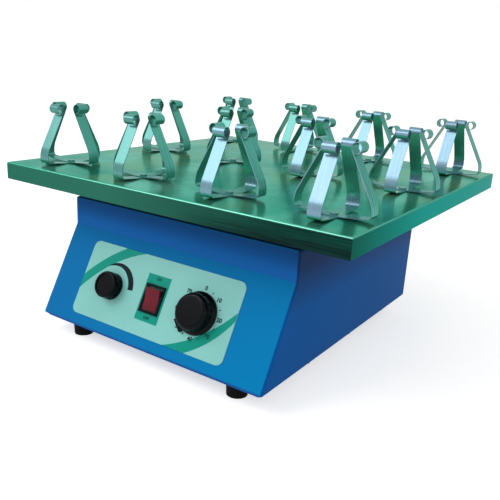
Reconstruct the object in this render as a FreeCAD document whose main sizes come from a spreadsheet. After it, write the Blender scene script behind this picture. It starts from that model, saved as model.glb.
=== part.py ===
"""Orbital shaker: a sheet-steel cabinet with a sloping control panel, and above it a
stainless steel deck that a belt-driven crank carries round in a level circle.

X runs along the front, Y to the rear and Z up. The origin is on the bench, under the
middle of the whole machine. Lengths are millimetres.
"""
import FreeCAD, Part
import math
import os

import Sketcher
from FreeCAD import Placement, Rotation, Vector

os.makedirs("parts", exist_ok=True)
doc = FreeCAD.newDocument("orbital_shaker")

# ---------------------------------------------------------------- driving dimensions

SIZES = {
    # cabinet
    "cabinet_width": 310, "cabinet_depth": 310, "cabinet_height": 134,
    "cabinet_setback": 15,      # middle of the cabinet's top, ahead of the spindle
    "crease_rise": 101,         # from the cabinet's lower edge to the panel's upper edge
    "nose_reach": 54,           # how far the panel comes forward at its foot
    "sheet_wall": 1.5, "sheet_bend": 2.5, "flange_width": 12,
    "base_thickness": 1.5, "base_inset": 4,
    "vent_length": 60, "vent_width": 5, "vent_pitch": 14, "vent_x": 60, "vent_rise": 35,
    # feet
    "foot_height": 20, "foot_radius": 11, "foot_flare": 1, "foot_recess_radius": 6.5,
    "foot_recess_depth": 8, "foot_front_inset": 24.5, "foot_rear_inset": 25, "foot_side_inset": 43,
    "foot_screw_radius": 2.5, "base_screw_radius": 2, "head_ratio": 1.8, "base_head": 2.4, "foot_head": 3.2,
    # deck
    "tray_width": 450, "tray_depth": 450, "lip_depth": 20, "tray_sheet": 1.2, "tray_bend": 2,
    "deck_gap": 16,             # from the cabinet's top to the lower edge of the deck's lip
    "carrier_side": 260, "carrier_thickness": 4, "carrier_corner": 20,
    "hub_radius": 26, "hub_flange_radius": 34, "hub_flange": 4, "hub_clearance": 1.5,
    # crank and its bearings
    "crank_throw": 12.5, "spindle_radius": 8.5, "crank_pin_radius": 7.5, "crank_radius": 28,
    "crank_thickness": 8, "crank_web": 3, "counterweight_radius": 75, "counterweight_thickness": 6,
    "turning_gap": 2, "running_fit": 0.03, "press_gap": 0.02,
    "spindle_bearing_radius": 20, "spindle_bearing_width": 12,
    "crank_bearing_radius": 17.5, "crank_bearing_width": 11,
    "housing_radius": 26, "housing_length": 60, "housing_flange_radius": 45, "housing_flange": 8,
    "drive_side": 262, "drive_thickness": 4, "drive_screw_inset": 10, "drive_screw_share": 0.4,
    "small_nut_radius": 3.6, "small_nut": 3.2,
    # idler cranks
    "idler_reach": 110, "idler_pin_radius": 4, "idler_bearing_radius": 11, "idler_bearing_width": 7,
    "idler_wall": 4, "idler_housing_length": 30, "idler_flange_radius": 20, "idler_flange": 4,
    "idler_web": 5, "idler_pin_gap": 0.08,
    # motor and belt
    "motor_offset": 88, "motor_radius": 38, "motor_length": 58, "motor_wall": 3, "motor_cap": 6,
    "motor_cap_radius": 42, "motor_shaft_radius": 5, "armature_length": 40, "magnet_spread": 12,
    "magnet_thickness": 5, "glue_gap": 0.2, "air_gap": 1,
    "belt_width": 8, "belt_thickness": 4, "belt_play": 0.5, "belt_seat": 0.3,
    "groove_radius": 50, "motor_groove_radius": 15, "pulley_flange": 2.5, "flange_rise": 5,
    "pulley_drop": 24.5,        # from the housing's lower end down to the middle of the belt
    "pulley_hub_radius": 16, "pulley_hub_length": 18, "pulley_web": 8, "rim_thickness": 6,
    "lightening_radius": 9, "lightening_circle": 30,
    # clamps
    "column_pitch": 119, "row_pitch": 172, "row_shift": 4,
    "strip_width": 14, "strip_thickness": 0.8, "strip_flat": 9, "lift_angle": 5, "lift_radius": 40,
    "heel_radius": 4, "limb_reach": 39.5, "riser": 2, "knee_radius": 25, "finger_lean": 28,
    "finger_length": 47, "curl_radius": 5, "curl_angle": 290,
    "clamp_screw_radius": 2.5, "clamp_head_radius": 4.2, "clamp_head": 1.4, "nut_radius": 4.6,
    "nut_height": 4, "screw_clearance": 0.1,
    # control panel
    "plate_width": 215, "plate_height": 87, "plate_thickness": 1, "plate_corner": 8,
    "plate_drop": 13, "plate_shift": -4.5,
    "speed_x": -65.5, "speed_drop": 59, "switch_x": -4.5, "switch_drop": 58.5,
    "timer_x": 57.5, "timer_drop": 57.2,
    "control_shaft_radius": 3, "bush_radius": 3.5, "bush_length": 5, "bush_nut_radius": 6, "bush_nut": 2,
    "knob_gap": 0.5, "speed_knob_radius": 15.5, "speed_knob_height": 13, "speed_knob_round": 2.5,
    "speed_flute": 2.2, "knob_rim": 4, "knob_dish": 1,
    "timer_skirt_radius": 23, "timer_skirt": 4, "timer_grip_radius": 19.5, "timer_knob_height": 16,
    "timer_knob_round": 5,
    "pointer_reach": 26.5, "pointer_width": 15, "pointer_angle": 225, "knob_cavity": 5,
    "pot_radius": 12, "pot_depth": 11, "timer_side": 46, "timer_case_depth": 32,
    "bezel_width": 26, "bezel_height": 32, "bezel_rise": 2, "switch_wall": 1, "bezel_rim": 2,
    "switch_depth": 28, "switch_gap": 0.4, "tab_spread": 5, "tab_thickness": 0.8, "tab_width": 6,
    "tab_length": 7, "rocker_clearance": 0.3, "rocker_tilt": 12,
    "rocker_pin_radius": 1.5, "rocker_horn": 3.5, "rocker_valley": 1.5, "rocker_depth": 5, "rocker_pit": 9,
    # electrical
    "gland_x": 95, "gland_height": 42, "gland_bore": 3.4, "gland_radius": 6, "gland_flange": 9,
    "gland_inside": 14, "gland_outside": 12, "fuse_x": 60, "fuse_radius": 6, "fuse_cap_radius": 7.5,
    "fuse_inside": 26, "fuse_outside": 9,
    "sink_x": 22, "sink_width": 12, "sink_depth": 60, "sink_height": 24,
    "capacitor_x": 16, "capacitor_y": 22, "capacitor_radius": 10, "capacitor_height": 26,
    "trimmer_x": 18, "trimmer_y": 24, "trimmer_radius": 4, "trimmer_height": 7,
    "board_width": 84, "board_depth": 104, "board_thickness": 1.6, "standoff_height": 10,
    "standoff_radius": 3, "board_x": 95, "transformer_width": 52, "transformer_depth": 44,
    "transformer_height": 46, "winding_width": 30, "winding_depth": 56,
}

# ---------------------------------------------------------------- worked-out places

PLACES = {
    "lean": "atan(Sizes.nose_reach / Sizes.crease_rise) / 1 deg",
    "nose_trim": "Sizes.sheet_bend * tan(Places.lean) * (1 + tan(Places.lean / 2))",
    "nose_stand": "Sizes.cabinet_setback + Sizes.cabinet_depth / 2 + Sizes.nose_reach",
    "front_reach": "max(Places.nose_stand - Places.nose_trim; "
                   "Sizes.tray_depth / 2 - Sizes.crank_throw)",
    "rear_reach": "max(Sizes.tray_depth / 2 + Sizes.crank_throw; "
                  "Sizes.cabinet_depth / 2 - Sizes.cabinet_setback)",
    "spindle_y": "(Places.front_reach - Places.rear_reach) / 2",
    "deck_y": "Places.spindle_y + Sizes.crank_throw",
    "front_y": "Places.spindle_y - Sizes.cabinet_setback - Sizes.cabinet_depth / 2",
    "rear_y": "Places.front_y + Sizes.cabinet_depth",
    "nose_y": "Places.front_y - Sizes.nose_reach",
    "cabinet_top": "Sizes.foot_height + Sizes.cabinet_height",
    "crease_z": "Sizes.foot_height + Sizes.crease_rise",
    "panel_turn": "90 - Places.lean",
    "base_under": "Sizes.foot_height - Sizes.base_thickness",
    "lip_under": "Places.cabinet_top + Sizes.deck_gap",
    "tray_top": "Places.lip_under + Sizes.lip_depth",
    "tray_under": "Places.tray_top - Sizes.tray_sheet",
    "carrier_under": "Places.tray_under - Sizes.carrier_thickness",
    "drive_under": "Places.cabinet_top - Sizes.sheet_wall - Sizes.drive_thickness",
    "housing_end": "Places.drive_under - Sizes.housing_length",
    "belt_z": "Places.housing_end - Sizes.pulley_drop",
    "counterweight_z": "Places.cabinet_top + Sizes.turning_gap",
    "crank_z": "Places.counterweight_z + Sizes.counterweight_thickness",
    "crank_top": "Places.crank_z + Sizes.crank_thickness",
    "hub_z": "Places.crank_top + Sizes.hub_clearance",
    "idler_web_z": "Places.cabinet_top + 2 * Sizes.turning_gap",
    "idler_web_top": "Places.idler_web_z + Sizes.idler_web",
    "idler_cup_z": "Places.idler_web_top + Sizes.turning_gap",
    "motor_y": "Places.spindle_y + Sizes.motor_offset",
    "can_top": "Places.drive_under - Sizes.motor_cap",
    "can_bottom": "Places.can_top - Sizes.motor_length",
    "groove_width": "Sizes.belt_width + 2 * Sizes.belt_play",
    "switch_inner_width": "Sizes.bezel_width - 2 * Sizes.bezel_rim - 2 * Sizes.switch_wall",
    "switch_inner_height": "Sizes.bezel_height - 2 * Sizes.bezel_rim - 2 * Sizes.switch_wall",
}


def fill_sheet(sheet, entries):
    for row, (name, value) in enumerate(entries.items(), start=1):
        sheet.set(f"A{row}", name)
        sheet.set(f"B{row}", f"={value}" if isinstance(value, str) else str(value))
        sheet.setAlias(f"B{row}", name)


sizes = doc.addObject("Spreadsheet::Sheet", "Sizes")
fill_sheet(sizes, SIZES)
places = doc.addObject("Spreadsheet::Sheet", "Places")
fill_sheet(places, {name: rule.replace("Places.", "") for name, rule in PLACES.items()})
doc.recompute()

NODES = {}
ROW_NAMES = ("front", "middle", "rear")
FLUTES = 12

# rules that several pieces share
CUT = "12"                  # how far a cutter reaches each side of a wall
BUSH_HOLE = "Sizes.bush_radius + Sizes.screw_clearance"
SHAFT_BORE = "Sizes.control_shaft_radius + Sizes.running_fit"
BASE_SCREW_HOLE = "Sizes.base_screw_radius + Sizes.screw_clearance"
BASE_SCREW_HEAD = "Sizes.base_screw_radius * Sizes.head_ratio"
CLAMP_HOLE = "Sizes.clamp_screw_radius + Sizes.screw_clearance"
GLAND_HOLE = "Sizes.gland_radius + Sizes.screw_clearance"
FUSE_HOLE = "Sizes.fuse_radius + Sizes.screw_clearance"
SWITCH_WIDE = "(Sizes.bezel_width - 2 * Sizes.bezel_rim + Sizes.switch_gap)"
SWITCH_TALL = "(Sizes.bezel_height - 2 * Sizes.bezel_rim + Sizes.switch_gap)"
KNOB_FOOT = "(Sizes.plate_thickness + Sizes.knob_gap)"
ROCKER_PIVOT = "Sizes.plate_thickness"


# ---------------------------------------------------------------- small builders

def number(rule):
    """The present value of a rule written with the sheets' names."""
    value = places.evalExpression(rule)
    return float(getattr(value, "Value", value))


def bind(thing, rules):
    for path, rule in rules.items():
        thing.setExpression(path, rule)
    return thing


def put(thing, x="0", y="0", z="0"):
    """Bind where a piece stands."""
    return bind(thing, {"Placement.Base.x": x, "Placement.Base.y": y, "Placement.Base.z": z})


def turn(thing, axis, angle):
    """Bind how far a piece is turned about an axis of its own frame."""
    thing.Placement = Placement(Vector(), Rotation(axis, 1))
    return bind(thing, {"Placement.Rotation.Angle": angle})


def on_panel(thing, x="0", drop="0", out="0"):
    """Stand a piece on the sloping panel, so far along it, below its upper edge and out of it.

    The piece's own X runs along the panel, its Y up the slope and its Z straight out.
    """
    turn(thing, Vector(1, 0, 0), "Places.panel_turn")
    slope, square = "cos(Places.panel_turn)", "sin(Places.panel_turn)"
    y = f"Places.front_y - ({drop}) * {slope} - ({out}) * {square}"
    z = f"Places.crease_z - ({drop}) * {square} + ({out}) * {slope}"
    return put(thing, x, y, z)


def node(label, thing):
    thing.Label = label
    NODES[label] = thing
    return thing


def fresh(kind, name):
    return doc.addObject(kind, name)


def block(name, low, size):
    piece = fresh("Part::Box", name)
    bind(piece, dict(zip(("Length", "Width", "Height"), size)))
    return put(piece, *low)


def middle_block(name, centre, size):
    """A block set by the middle of its lower face."""
    low = (f"{centre[0]} - ({size[0]}) / 2", f"{centre[1]} - ({size[1]}) / 2", centre[2])
    return block(name, low, size)


def rod(name, foot, radius, height):
    piece = fresh("Part::Cylinder", name)
    bind(piece, {"Radius": radius, "Height": height})
    return put(piece, *foot)


def join(name, pieces):
    thing = fresh("Part::MultiFuse", name)
    thing.Shapes = pieces
    return thing


def cut(name, base, tools):
    thing = fresh("Part::Cut", name)
    thing.Base = base
    thing.Tool = tools[0] if len(tools) == 1 else join(f"{name}_tools", tools)
    return thing


def group(name, pieces):
    """Separate solids that share one node."""
    thing = fresh("Part::Compound", name)
    thing.Links = pieces
    return thing


def origin_plane(body, role):
    return next(plane for plane in body.Origin.OriginFeatures if plane.Role == role)


def sketch_on(body, role, corners, lift="0"):
    """A closed outline whose corners are bound to rules, on one of a body's own planes."""
    sketch = body.newObject("Sketcher::SketchObject", f"{body.Name}_outline")
    sketch.AttachmentSupport = [(origin_plane(body, role), "")]
    sketch.MapMode = "FlatFace"
    sketch.setExpression("AttachmentOffset.Base.z", lift)
    points = [Vector(number(across), number(up), 0) for across, up in corners]
    count = len(points)
    for index, point in enumerate(points):
        sketch.addGeometry(Part.LineSegment(point, points[(index + 1) % count]), False)
    for index in range(count):
        sketch.addConstraint(Sketcher.Constraint("Coincident", index, 2, (index + 1) % count, 1))
    for index, (point, rules) in enumerate(zip(points, corners)):
        for direction, value, rule in zip(("DistanceX", "DistanceY"), point, rules):
            item = sketch.addConstraint(Sketcher.Constraint(direction, -1, 1, index, 1, value))
            sketch.setExpression(f"Constraints[{item}]", rule)
    return sketch


def prism(name, role, corners, length, lift="0", side="One side"):
    body = fresh("PartDesign::Body", name)
    pad = body.newObject("PartDesign::Pad", f"{name}_pad")
    pad.Profile = sketch_on(body, role, corners, lift)
    pad.SideType = side
    pad.setExpression("Length", length)
    return body


def slab(name, centre, size):
    """A level rectangular pad whose corners may then be rounded."""
    x, y, z = centre
    across, along, up = size
    left, right = f"{x} - ({across}) / 2", f"{x} + ({across}) / 2"
    near, far = f"{y} - ({along}) / 2", f"{y} + ({along}) / 2"
    return prism(name, "XY_Plane", [(left, near), (right, near), (right, far), (left, far)], up, z)


def turned(name, profile):
    """A piece turned about the Z axis, from its half section of (radius, height) rules."""
    body = fresh("PartDesign::Body", name)
    half = sketch_on(body, "XZ_Plane", profile)
    spin = body.newObject("PartDesign::Revolution", f"{name}_turning")
    spin.Profile = half
    spin.ReferenceAxis = (half, ["V_Axis"])
    spin.Angle = 360
    return body


def ring(name, foot, inner, outer, height):
    profile = [(inner, "0"), (outer, "0"), (outer, height), (inner, height)]
    return put(turned(name, profile), *foot)


def round_edges(body, radius, wanted=lambda edge: True):
    """Round those edges of a body's last feature that pass the test."""
    doc.recompute()
    base = body.Tip
    names = [f"Edge{index}" for index, edge in enumerate(base.Shape.Edges, start=1) if wanted(edge)]
    fillet = body.newObject("PartDesign::Fillet", f"{body.Name}_rounding")
    fillet.Base = (base, names)
    fillet.setExpression("Radius", radius)
    return body


def upright(edge):
    ends = [vertex.Point for vertex in edge.Vertexes]
    return len(ends) == 2 and abs(ends[0].x - ends[1].x) + abs(ends[0].y - ends[1].y) < 1e-6


def top_edge(edge, level):
    return all(abs(vertex.Z - level) < 1e-6 for vertex in edge.Vertexes)


# ---------------------------------------------------------------- where things repeat

SIDES = ("-1", "1")
IDLER_SPOTS = {
    "front_left": ("-1", "-1"), "front_right": ("1", "-1"),
    "rear_left": ("-1", "1"), "rear_right": ("1", "1"),
}
CLAMP_SPOTS = [(row, column) for row in range(3) for column in range(4)]


def idler_spot(side, end):
    return f"{side} * Sizes.idler_reach", f"Places.spindle_y + {end} * Sizes.idler_reach"


def foot_spots():
    side = "(Sizes.cabinet_width / 2 - Sizes.foot_side_inset)"
    rows = ("Places.nose_y + Sizes.foot_front_inset", "Places.rear_y - Sizes.foot_rear_inset")
    return [(f"{sign} * {side}", row) for row in rows for sign in SIDES]


def base_screw_spots():
    """Screws that hold the base plate to the cabinet's turned-in lower flange."""
    side = "(Sizes.cabinet_width / 2 - Sizes.sheet_wall - Sizes.flange_width / 2)"
    stations = ("0.28", "0.55", "0.82")
    depth = "(Places.rear_y - Places.nose_y)"
    return [(f"{sign} * {side}", f"Places.nose_y + {share} * {depth}")
            for share in stations for sign in SIDES]


def deck_screw_spots():
    side = "(Sizes.drive_side / 2 - Sizes.drive_screw_inset)"
    along = "Sizes.idler_reach * Sizes.drive_screw_share"
    return [(f"{sign} * {side}", f"Places.spindle_y + {end} * {along}")
            for end in SIDES for sign in SIDES]


def clamp_spot(row, column):
    x = f"({column} - 1.5) * Sizes.column_pitch"
    y = f"Places.deck_y + ({row} - 1) * Sizes.row_pitch + Sizes.row_shift"
    return x, y


def over_carrier(row, column):
    """True for a clamp whose screw also goes through the carrier plate."""
    x, y = (number(rule) for rule in clamp_spot(row, column))
    reach = number("Sizes.carrier_side / 2 - Sizes.nut_radius")
    return abs(x) < reach and abs(y - number("Places.deck_y")) < reach


# ---------------------------------------------------------------- cabinet

def cabinet_profile(inset):
    """Side view of the cabinet, drawn in from its outer face by an inset."""
    crease = f"Places.crease_z - {inset} * tan(Places.lean / 2)"
    toe = f"Places.front_y + {inset} - ({crease} - Sizes.foot_height - {inset}) * tan(Places.lean)"
    return [
        (toe, f"Sizes.foot_height + {inset}"),
        (f"Places.rear_y - {inset}", f"Sizes.foot_height + {inset}"),
        (f"Places.rear_y - {inset}", f"Places.cabinet_top - {inset}"),
        (f"Places.front_y + {inset}", f"Places.cabinet_top - {inset}"),
        (f"Places.front_y + {inset}", crease),
    ]


def panel_hole(name, x, drop, radius):
    """A round cutter through the panel, square to it."""
    return on_panel(rod(name, ("0", "0", "0"), radius, f"{CUT} * 2"), x, drop, f"-{CUT}")


def panel_slot(name, x, drop, width, height):
    """A rectangular cutter through the panel."""
    tool = block(name, ("0", "0", "0"), (width, height, f"{CUT} * 2"))
    return on_panel(tool, f"{x} - ({width}) / 2", f"{drop} + ({height}) / 2", f"-{CUT}")


def rear_rod(name, x, z, radius, start, length):
    """A rod whose axis runs to the rear, from a given depth behind the cabinet's back."""
    tool = turn(rod(name, ("0", "0", "0"), radius, length), Vector(-1, 0, 0), "90")
    return put(tool, x, f"Places.rear_y + ({start})", z)


def make_cabinet():
    outer = prism("cabinet_outside", "YZ_Plane", cabinet_profile("0"), "Sizes.cabinet_width",
                  side="Symmetric")
    round_edges(outer, "Sizes.sheet_bend")
    inner = prism("cabinet_inside", "YZ_Plane", cabinet_profile("Sizes.sheet_wall"),
                  "Sizes.cabinet_width - 2 * Sizes.sheet_wall", side="Symmetric")
    round_edges(inner, "Sizes.sheet_bend - Sizes.sheet_wall")
    edge = "(Sizes.sheet_wall + Sizes.flange_width)"
    floor_width = f"Sizes.cabinet_width - 2 * {edge}"
    floor_depth = f"Places.rear_y - Places.nose_y - 2 * {edge}"
    below = "Sizes.foot_height - Sizes.sheet_wall"
    opening = block("cabinet_floor_opening", (f"-({floor_width}) / 2", f"Places.nose_y + {edge}", below),
                    (floor_width, floor_depth, "3 * Sizes.sheet_wall"))
    through_top = "Places.cabinet_top - 2 * Sizes.sheet_wall"
    tools = [
        inner, opening,
        panel_hole("speed_bush_hole", "Sizes.speed_x", "Sizes.speed_drop", BUSH_HOLE),
        panel_hole("timer_bush_hole", "Sizes.timer_x", "Sizes.timer_drop", BUSH_HOLE),
        panel_slot("switch_hole", "Sizes.switch_x", "Sizes.switch_drop", SWITCH_WIDE, SWITCH_TALL),
        rod("cabinet_spindle_hole", ("0", "Places.spindle_y", through_top),
            "Sizes.spindle_radius + Sizes.turning_gap", "4 * Sizes.sheet_wall"),
        rear_rod("gland_hole", "Sizes.gland_x", "Sizes.gland_height", GLAND_HOLE, f"-{CUT}", f"2 * {CUT}"),
        rear_rod("fuse_hole", "Sizes.fuse_x", "Sizes.gland_height", FUSE_HOLE, f"-{CUT}", f"2 * {CUT}"),
    ]
    for spot, (side, end) in IDLER_SPOTS.items():
        x, y = idler_spot(side, end)
        tools.append(rod(f"cabinet_idler_hole_{spot}", (x, y, through_top),
                         "Sizes.idler_pin_radius + Sizes.turning_gap", "4 * Sizes.sheet_wall"))
    for index, (x, y) in enumerate(base_screw_spots()):
        tools.append(rod(f"flange_hole_{index}", (x, y, below), BASE_SCREW_HOLE, "3 * Sizes.sheet_wall"))
    for index, (x, y) in enumerate(deck_screw_spots()):
        tools.append(rod(f"top_hole_{index}", (x, y, through_top), BASE_SCREW_HOLE,
                         "4 * Sizes.sheet_wall"))
    for index in range(5):
        low = ("-Sizes.vent_length / 2 - Sizes.vent_x", f"Places.rear_y - {CUT}",
               f"Sizes.foot_height + Sizes.vent_rise + {index} * Sizes.vent_pitch")
        tools.append(block(f"rear_vent_{index}", low,
                           ("Sizes.vent_length", f"2 * {CUT}", "Sizes.vent_width")))
    node("cabinet_shell", cut("cabinet_cut", outer, tools))


def make_base():
    inset = "Sizes.base_inset"
    width = f"Sizes.cabinet_width - 2 * {inset}"
    depth = f"Places.rear_y - Places.nose_y - 2 * {inset}"
    middle = "(Places.rear_y + Places.nose_y) / 2"
    sheet = slab("base_sheet", ("0", middle, "Places.base_under"), (width, depth, "Sizes.base_thickness"))
    round_edges(sheet, "Sizes.sheet_bend", upright)
    below = "Places.base_under - Sizes.base_thickness"
    tools = []
    for index, (x, y) in enumerate(foot_spots()):
        tools.append(rod(f"base_foot_hole_{index}", (x, y, below),
                         "Sizes.foot_screw_radius + Sizes.screw_clearance", "3 * Sizes.base_thickness"))
    for index, (x, y) in enumerate(base_screw_spots()):
        tools.append(rod(f"base_screw_hole_{index}", (x, y, below), BASE_SCREW_HOLE,
                         "3 * Sizes.base_thickness"))
    for index in range(6):
        low = ("-Sizes.vent_length / 2", f"Places.spindle_y + ({index} - 2.5) * Sizes.vent_pitch", below)
        tools.append(block(f"base_vent_{index}", low,
                           ("Sizes.vent_length", "Sizes.vent_width", "3 * Sizes.base_thickness")))
    node("base_plate", cut("base_cut", sheet, tools))

    screws = []
    for index, (x, y) in enumerate(base_screw_spots()):
        shank = rod(f"base_shank_{index}", (x, y, "Places.base_under"), "Sizes.base_screw_radius",
                    "Sizes.base_thickness + Sizes.sheet_wall + 3")
        head = rod(f"base_head_{index}", (x, y, "Places.base_under - Sizes.base_head"),
                   BASE_SCREW_HEAD, "Sizes.base_head")
        screws.append(join(f"base_screw_{index}", [shank, head]))
    node("base_screws", group("base_screw_group", screws))


def make_feet():
    top = "Places.base_under"
    hole = "Sizes.foot_screw_radius + Sizes.screw_clearance"
    profile = [
        ("Sizes.foot_recess_radius", "0"), ("Sizes.foot_radius", "0"),
        ("Sizes.foot_radius + Sizes.foot_flare", top), (hole, top),
        (hole, "Sizes.foot_recess_depth"), ("Sizes.foot_recess_radius", "Sizes.foot_recess_depth"),
    ]
    feet, screws = [], []
    for index, (x, y) in enumerate(foot_spots()):
        feet.append(put(turned(f"foot_{index}", profile), x, y))
        head = rod(f"foot_head_{index}", (x, y, "Sizes.foot_recess_depth - Sizes.foot_head"),
                   "Sizes.foot_screw_radius * Sizes.head_ratio", "Sizes.foot_head")
        shank = rod(f"foot_shank_{index}", (x, y, "Sizes.foot_recess_depth"), "Sizes.foot_screw_radius",
                    "Sizes.foot_height + 6 - Sizes.foot_recess_depth")
        nut = rod(f"foot_nut_{index}", (x, y, "Sizes.foot_height"), "Sizes.nut_radius",
                  "Sizes.nut_height")
        screws.append(join(f"foot_screw_{index}", [shank, head, nut]))
    node("rubber_feet", group("feet_group", feet))
    node("foot_screws", group("foot_screw_group", screws))


# ---------------------------------------------------------------- control panel

def make_control_plate():
    sheet = slab("plate_sheet", ("0", "0", "0"), ("Sizes.plate_width", "Sizes.plate_height",
                                                  "Sizes.plate_thickness"))
    round_edges(sheet, "Sizes.plate_corner", upright)
    middle_drop = "Sizes.plate_drop + Sizes.plate_height / 2"
    on_panel(sheet, "Sizes.plate_shift", middle_drop)
    tools = [
        panel_hole("plate_speed_hole", "Sizes.speed_x", "Sizes.speed_drop", BUSH_HOLE),
        panel_hole("plate_timer_hole", "Sizes.timer_x", "Sizes.timer_drop", BUSH_HOLE),
        panel_slot("plate_switch_hole", "Sizes.switch_x", "Sizes.switch_drop", SWITCH_WIDE, SWITCH_TALL),
    ]
    node("control_plate", cut("plate_cut", sheet, tools))


def bushed_case(name, case, depth):
    """A control's case behind the panel, with its threaded bush and nut in front."""
    bush = rod(f"{name}_bush", ("0", "0", "-Sizes.sheet_wall"), "Sizes.bush_radius",
               "Sizes.sheet_wall + Sizes.plate_thickness + Sizes.bush_length")
    nut = rod(f"{name}_nut", ("0", "0", "Sizes.plate_thickness"), "Sizes.bush_nut_radius",
              "Sizes.bush_nut")
    bore = rod(f"{name}_bore", ("0", "0", f"-({depth}) * 0.7"), SHAFT_BORE, f"({depth}) * 0.7 + 20")
    return cut(f"{name}_cut", join(f"{name}_whole", [case, bush, nut]), [bore])


def control_shaft(name, depth, knob_height):
    """A shaft from inside a control's case up into its knob."""
    length = f"({depth}) * 0.65 + {KNOB_FOOT} + ({knob_height}) - 3"
    return rod(name, ("0", "0", "0"), "Sizes.control_shaft_radius", length)


def knob_hollow(name, knob_height):
    """The cavity over the bush nut and the bore for the shaft, from the knob's foot up."""
    cavity = rod(f"{name}_cavity", ("0", "0", "-1"), "Sizes.bush_nut_radius + 1",
                 "Sizes.knob_cavity + 1")
    bore = rod(f"{name}_bore", ("0", "0", "-1"), "Sizes.control_shaft_radius",
               f"({knob_height}) - 3 + 1")
    return [cavity, bore]


def rounded_top(name, profile, top, radius):
    """A turned piece whose upper rim is rounded."""
    level = number(top)
    return round_edges(turned(name, profile), radius, lambda edge: top_edge(edge, level))


def make_speed_control():
    case = rod("pot_case", ("0", "0", "-Sizes.sheet_wall - Sizes.pot_depth"), "Sizes.pot_radius",
               "Sizes.pot_depth")
    depth = "Sizes.pot_depth + Sizes.sheet_wall"
    node("potentiometer", on_panel(bushed_case("pot", case, depth), "Sizes.speed_x", "Sizes.speed_drop"))
    shaft = control_shaft("pot_shaft", depth, "Sizes.speed_knob_height")
    node("speed_shaft", on_panel(shaft, "Sizes.speed_x", "Sizes.speed_drop", f"-({depth}) * 0.65"))

    top, side = "Sizes.speed_knob_height", "Sizes.speed_knob_radius"
    profile = [("0", "0"), (side, "0"), (f"{side} - 0.6", top), ("0", top)]
    blank = rounded_top("speed_knob_blank", profile, top, "Sizes.speed_knob_round")
    dish = rod("speed_knob_dish", ("0", "0", f"{top} - Sizes.knob_dish"), f"{side} - Sizes.knob_rim",
               "Sizes.knob_dish + 1")
    tools = knob_hollow("speed_knob", top) + [dish]
    for index in range(FLUTES):
        angle = f"{index} * 360 / {FLUTES}"
        reach = f"({side} + Sizes.speed_flute * 0.6)"
        spot = (f"{reach} * cos({angle})", f"{reach} * sin({angle})", "3")
        tools.append(rod(f"speed_flute_{index}", spot, "Sizes.speed_flute", top))
    knob = cut("speed_knob_cut", blank, tools)
    node("speed_knob", on_panel(knob, "Sizes.speed_x", "Sizes.speed_drop", KNOB_FOOT))


def make_timer():
    side, depth = "Sizes.timer_side", "Sizes.timer_case_depth + Sizes.sheet_wall"
    case = middle_block("timer_box", ("0", "0", f"-({depth})"), (side, side, "Sizes.timer_case_depth"))
    node("timer_case", on_panel(bushed_case("timer", case, depth), "Sizes.timer_x", "Sizes.timer_drop"))
    shaft = control_shaft("timer_spindle", depth, "Sizes.timer_knob_height")
    node("timer_shaft", on_panel(shaft, "Sizes.timer_x", "Sizes.timer_drop", f"-({depth}) * 0.65"))

    top, skirt, grip = "Sizes.timer_knob_height", "Sizes.timer_skirt_radius", "Sizes.timer_grip_radius"
    profile = [
        ("0", "0"), (skirt, "0"), (skirt, "Sizes.timer_skirt - 1.5"),
        (f"{skirt} - 1.5", "Sizes.timer_skirt"), (f"{grip} + 0.6", "Sizes.timer_skirt + 1"),
        (grip, top), ("0", top),
    ]
    nose = block("timer_nose", ("-Sizes.pointer_width / 2", "0", "0"),
                 ("Sizes.pointer_width", "Sizes.pointer_reach", "Sizes.timer_skirt - 0.5"))
    turn(nose, Vector(0, 0, -1), "Sizes.pointer_angle")
    swing = "Sizes.pointer_angle"
    put(nose, f"-Sizes.pointer_width / 2 * cos({swing})", f"Sizes.pointer_width / 2 * sin({swing})", "0")
    body = rounded_top("timer_knob_body", profile, top, "Sizes.timer_knob_round")
    blank = join("timer_knob_blank", [body, nose])
    knob = cut("timer_knob_cut", blank, knob_hollow("timer_knob", top))
    node("timer_knob", on_panel(knob, "Sizes.timer_x", "Sizes.timer_drop", KNOB_FOOT))


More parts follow.
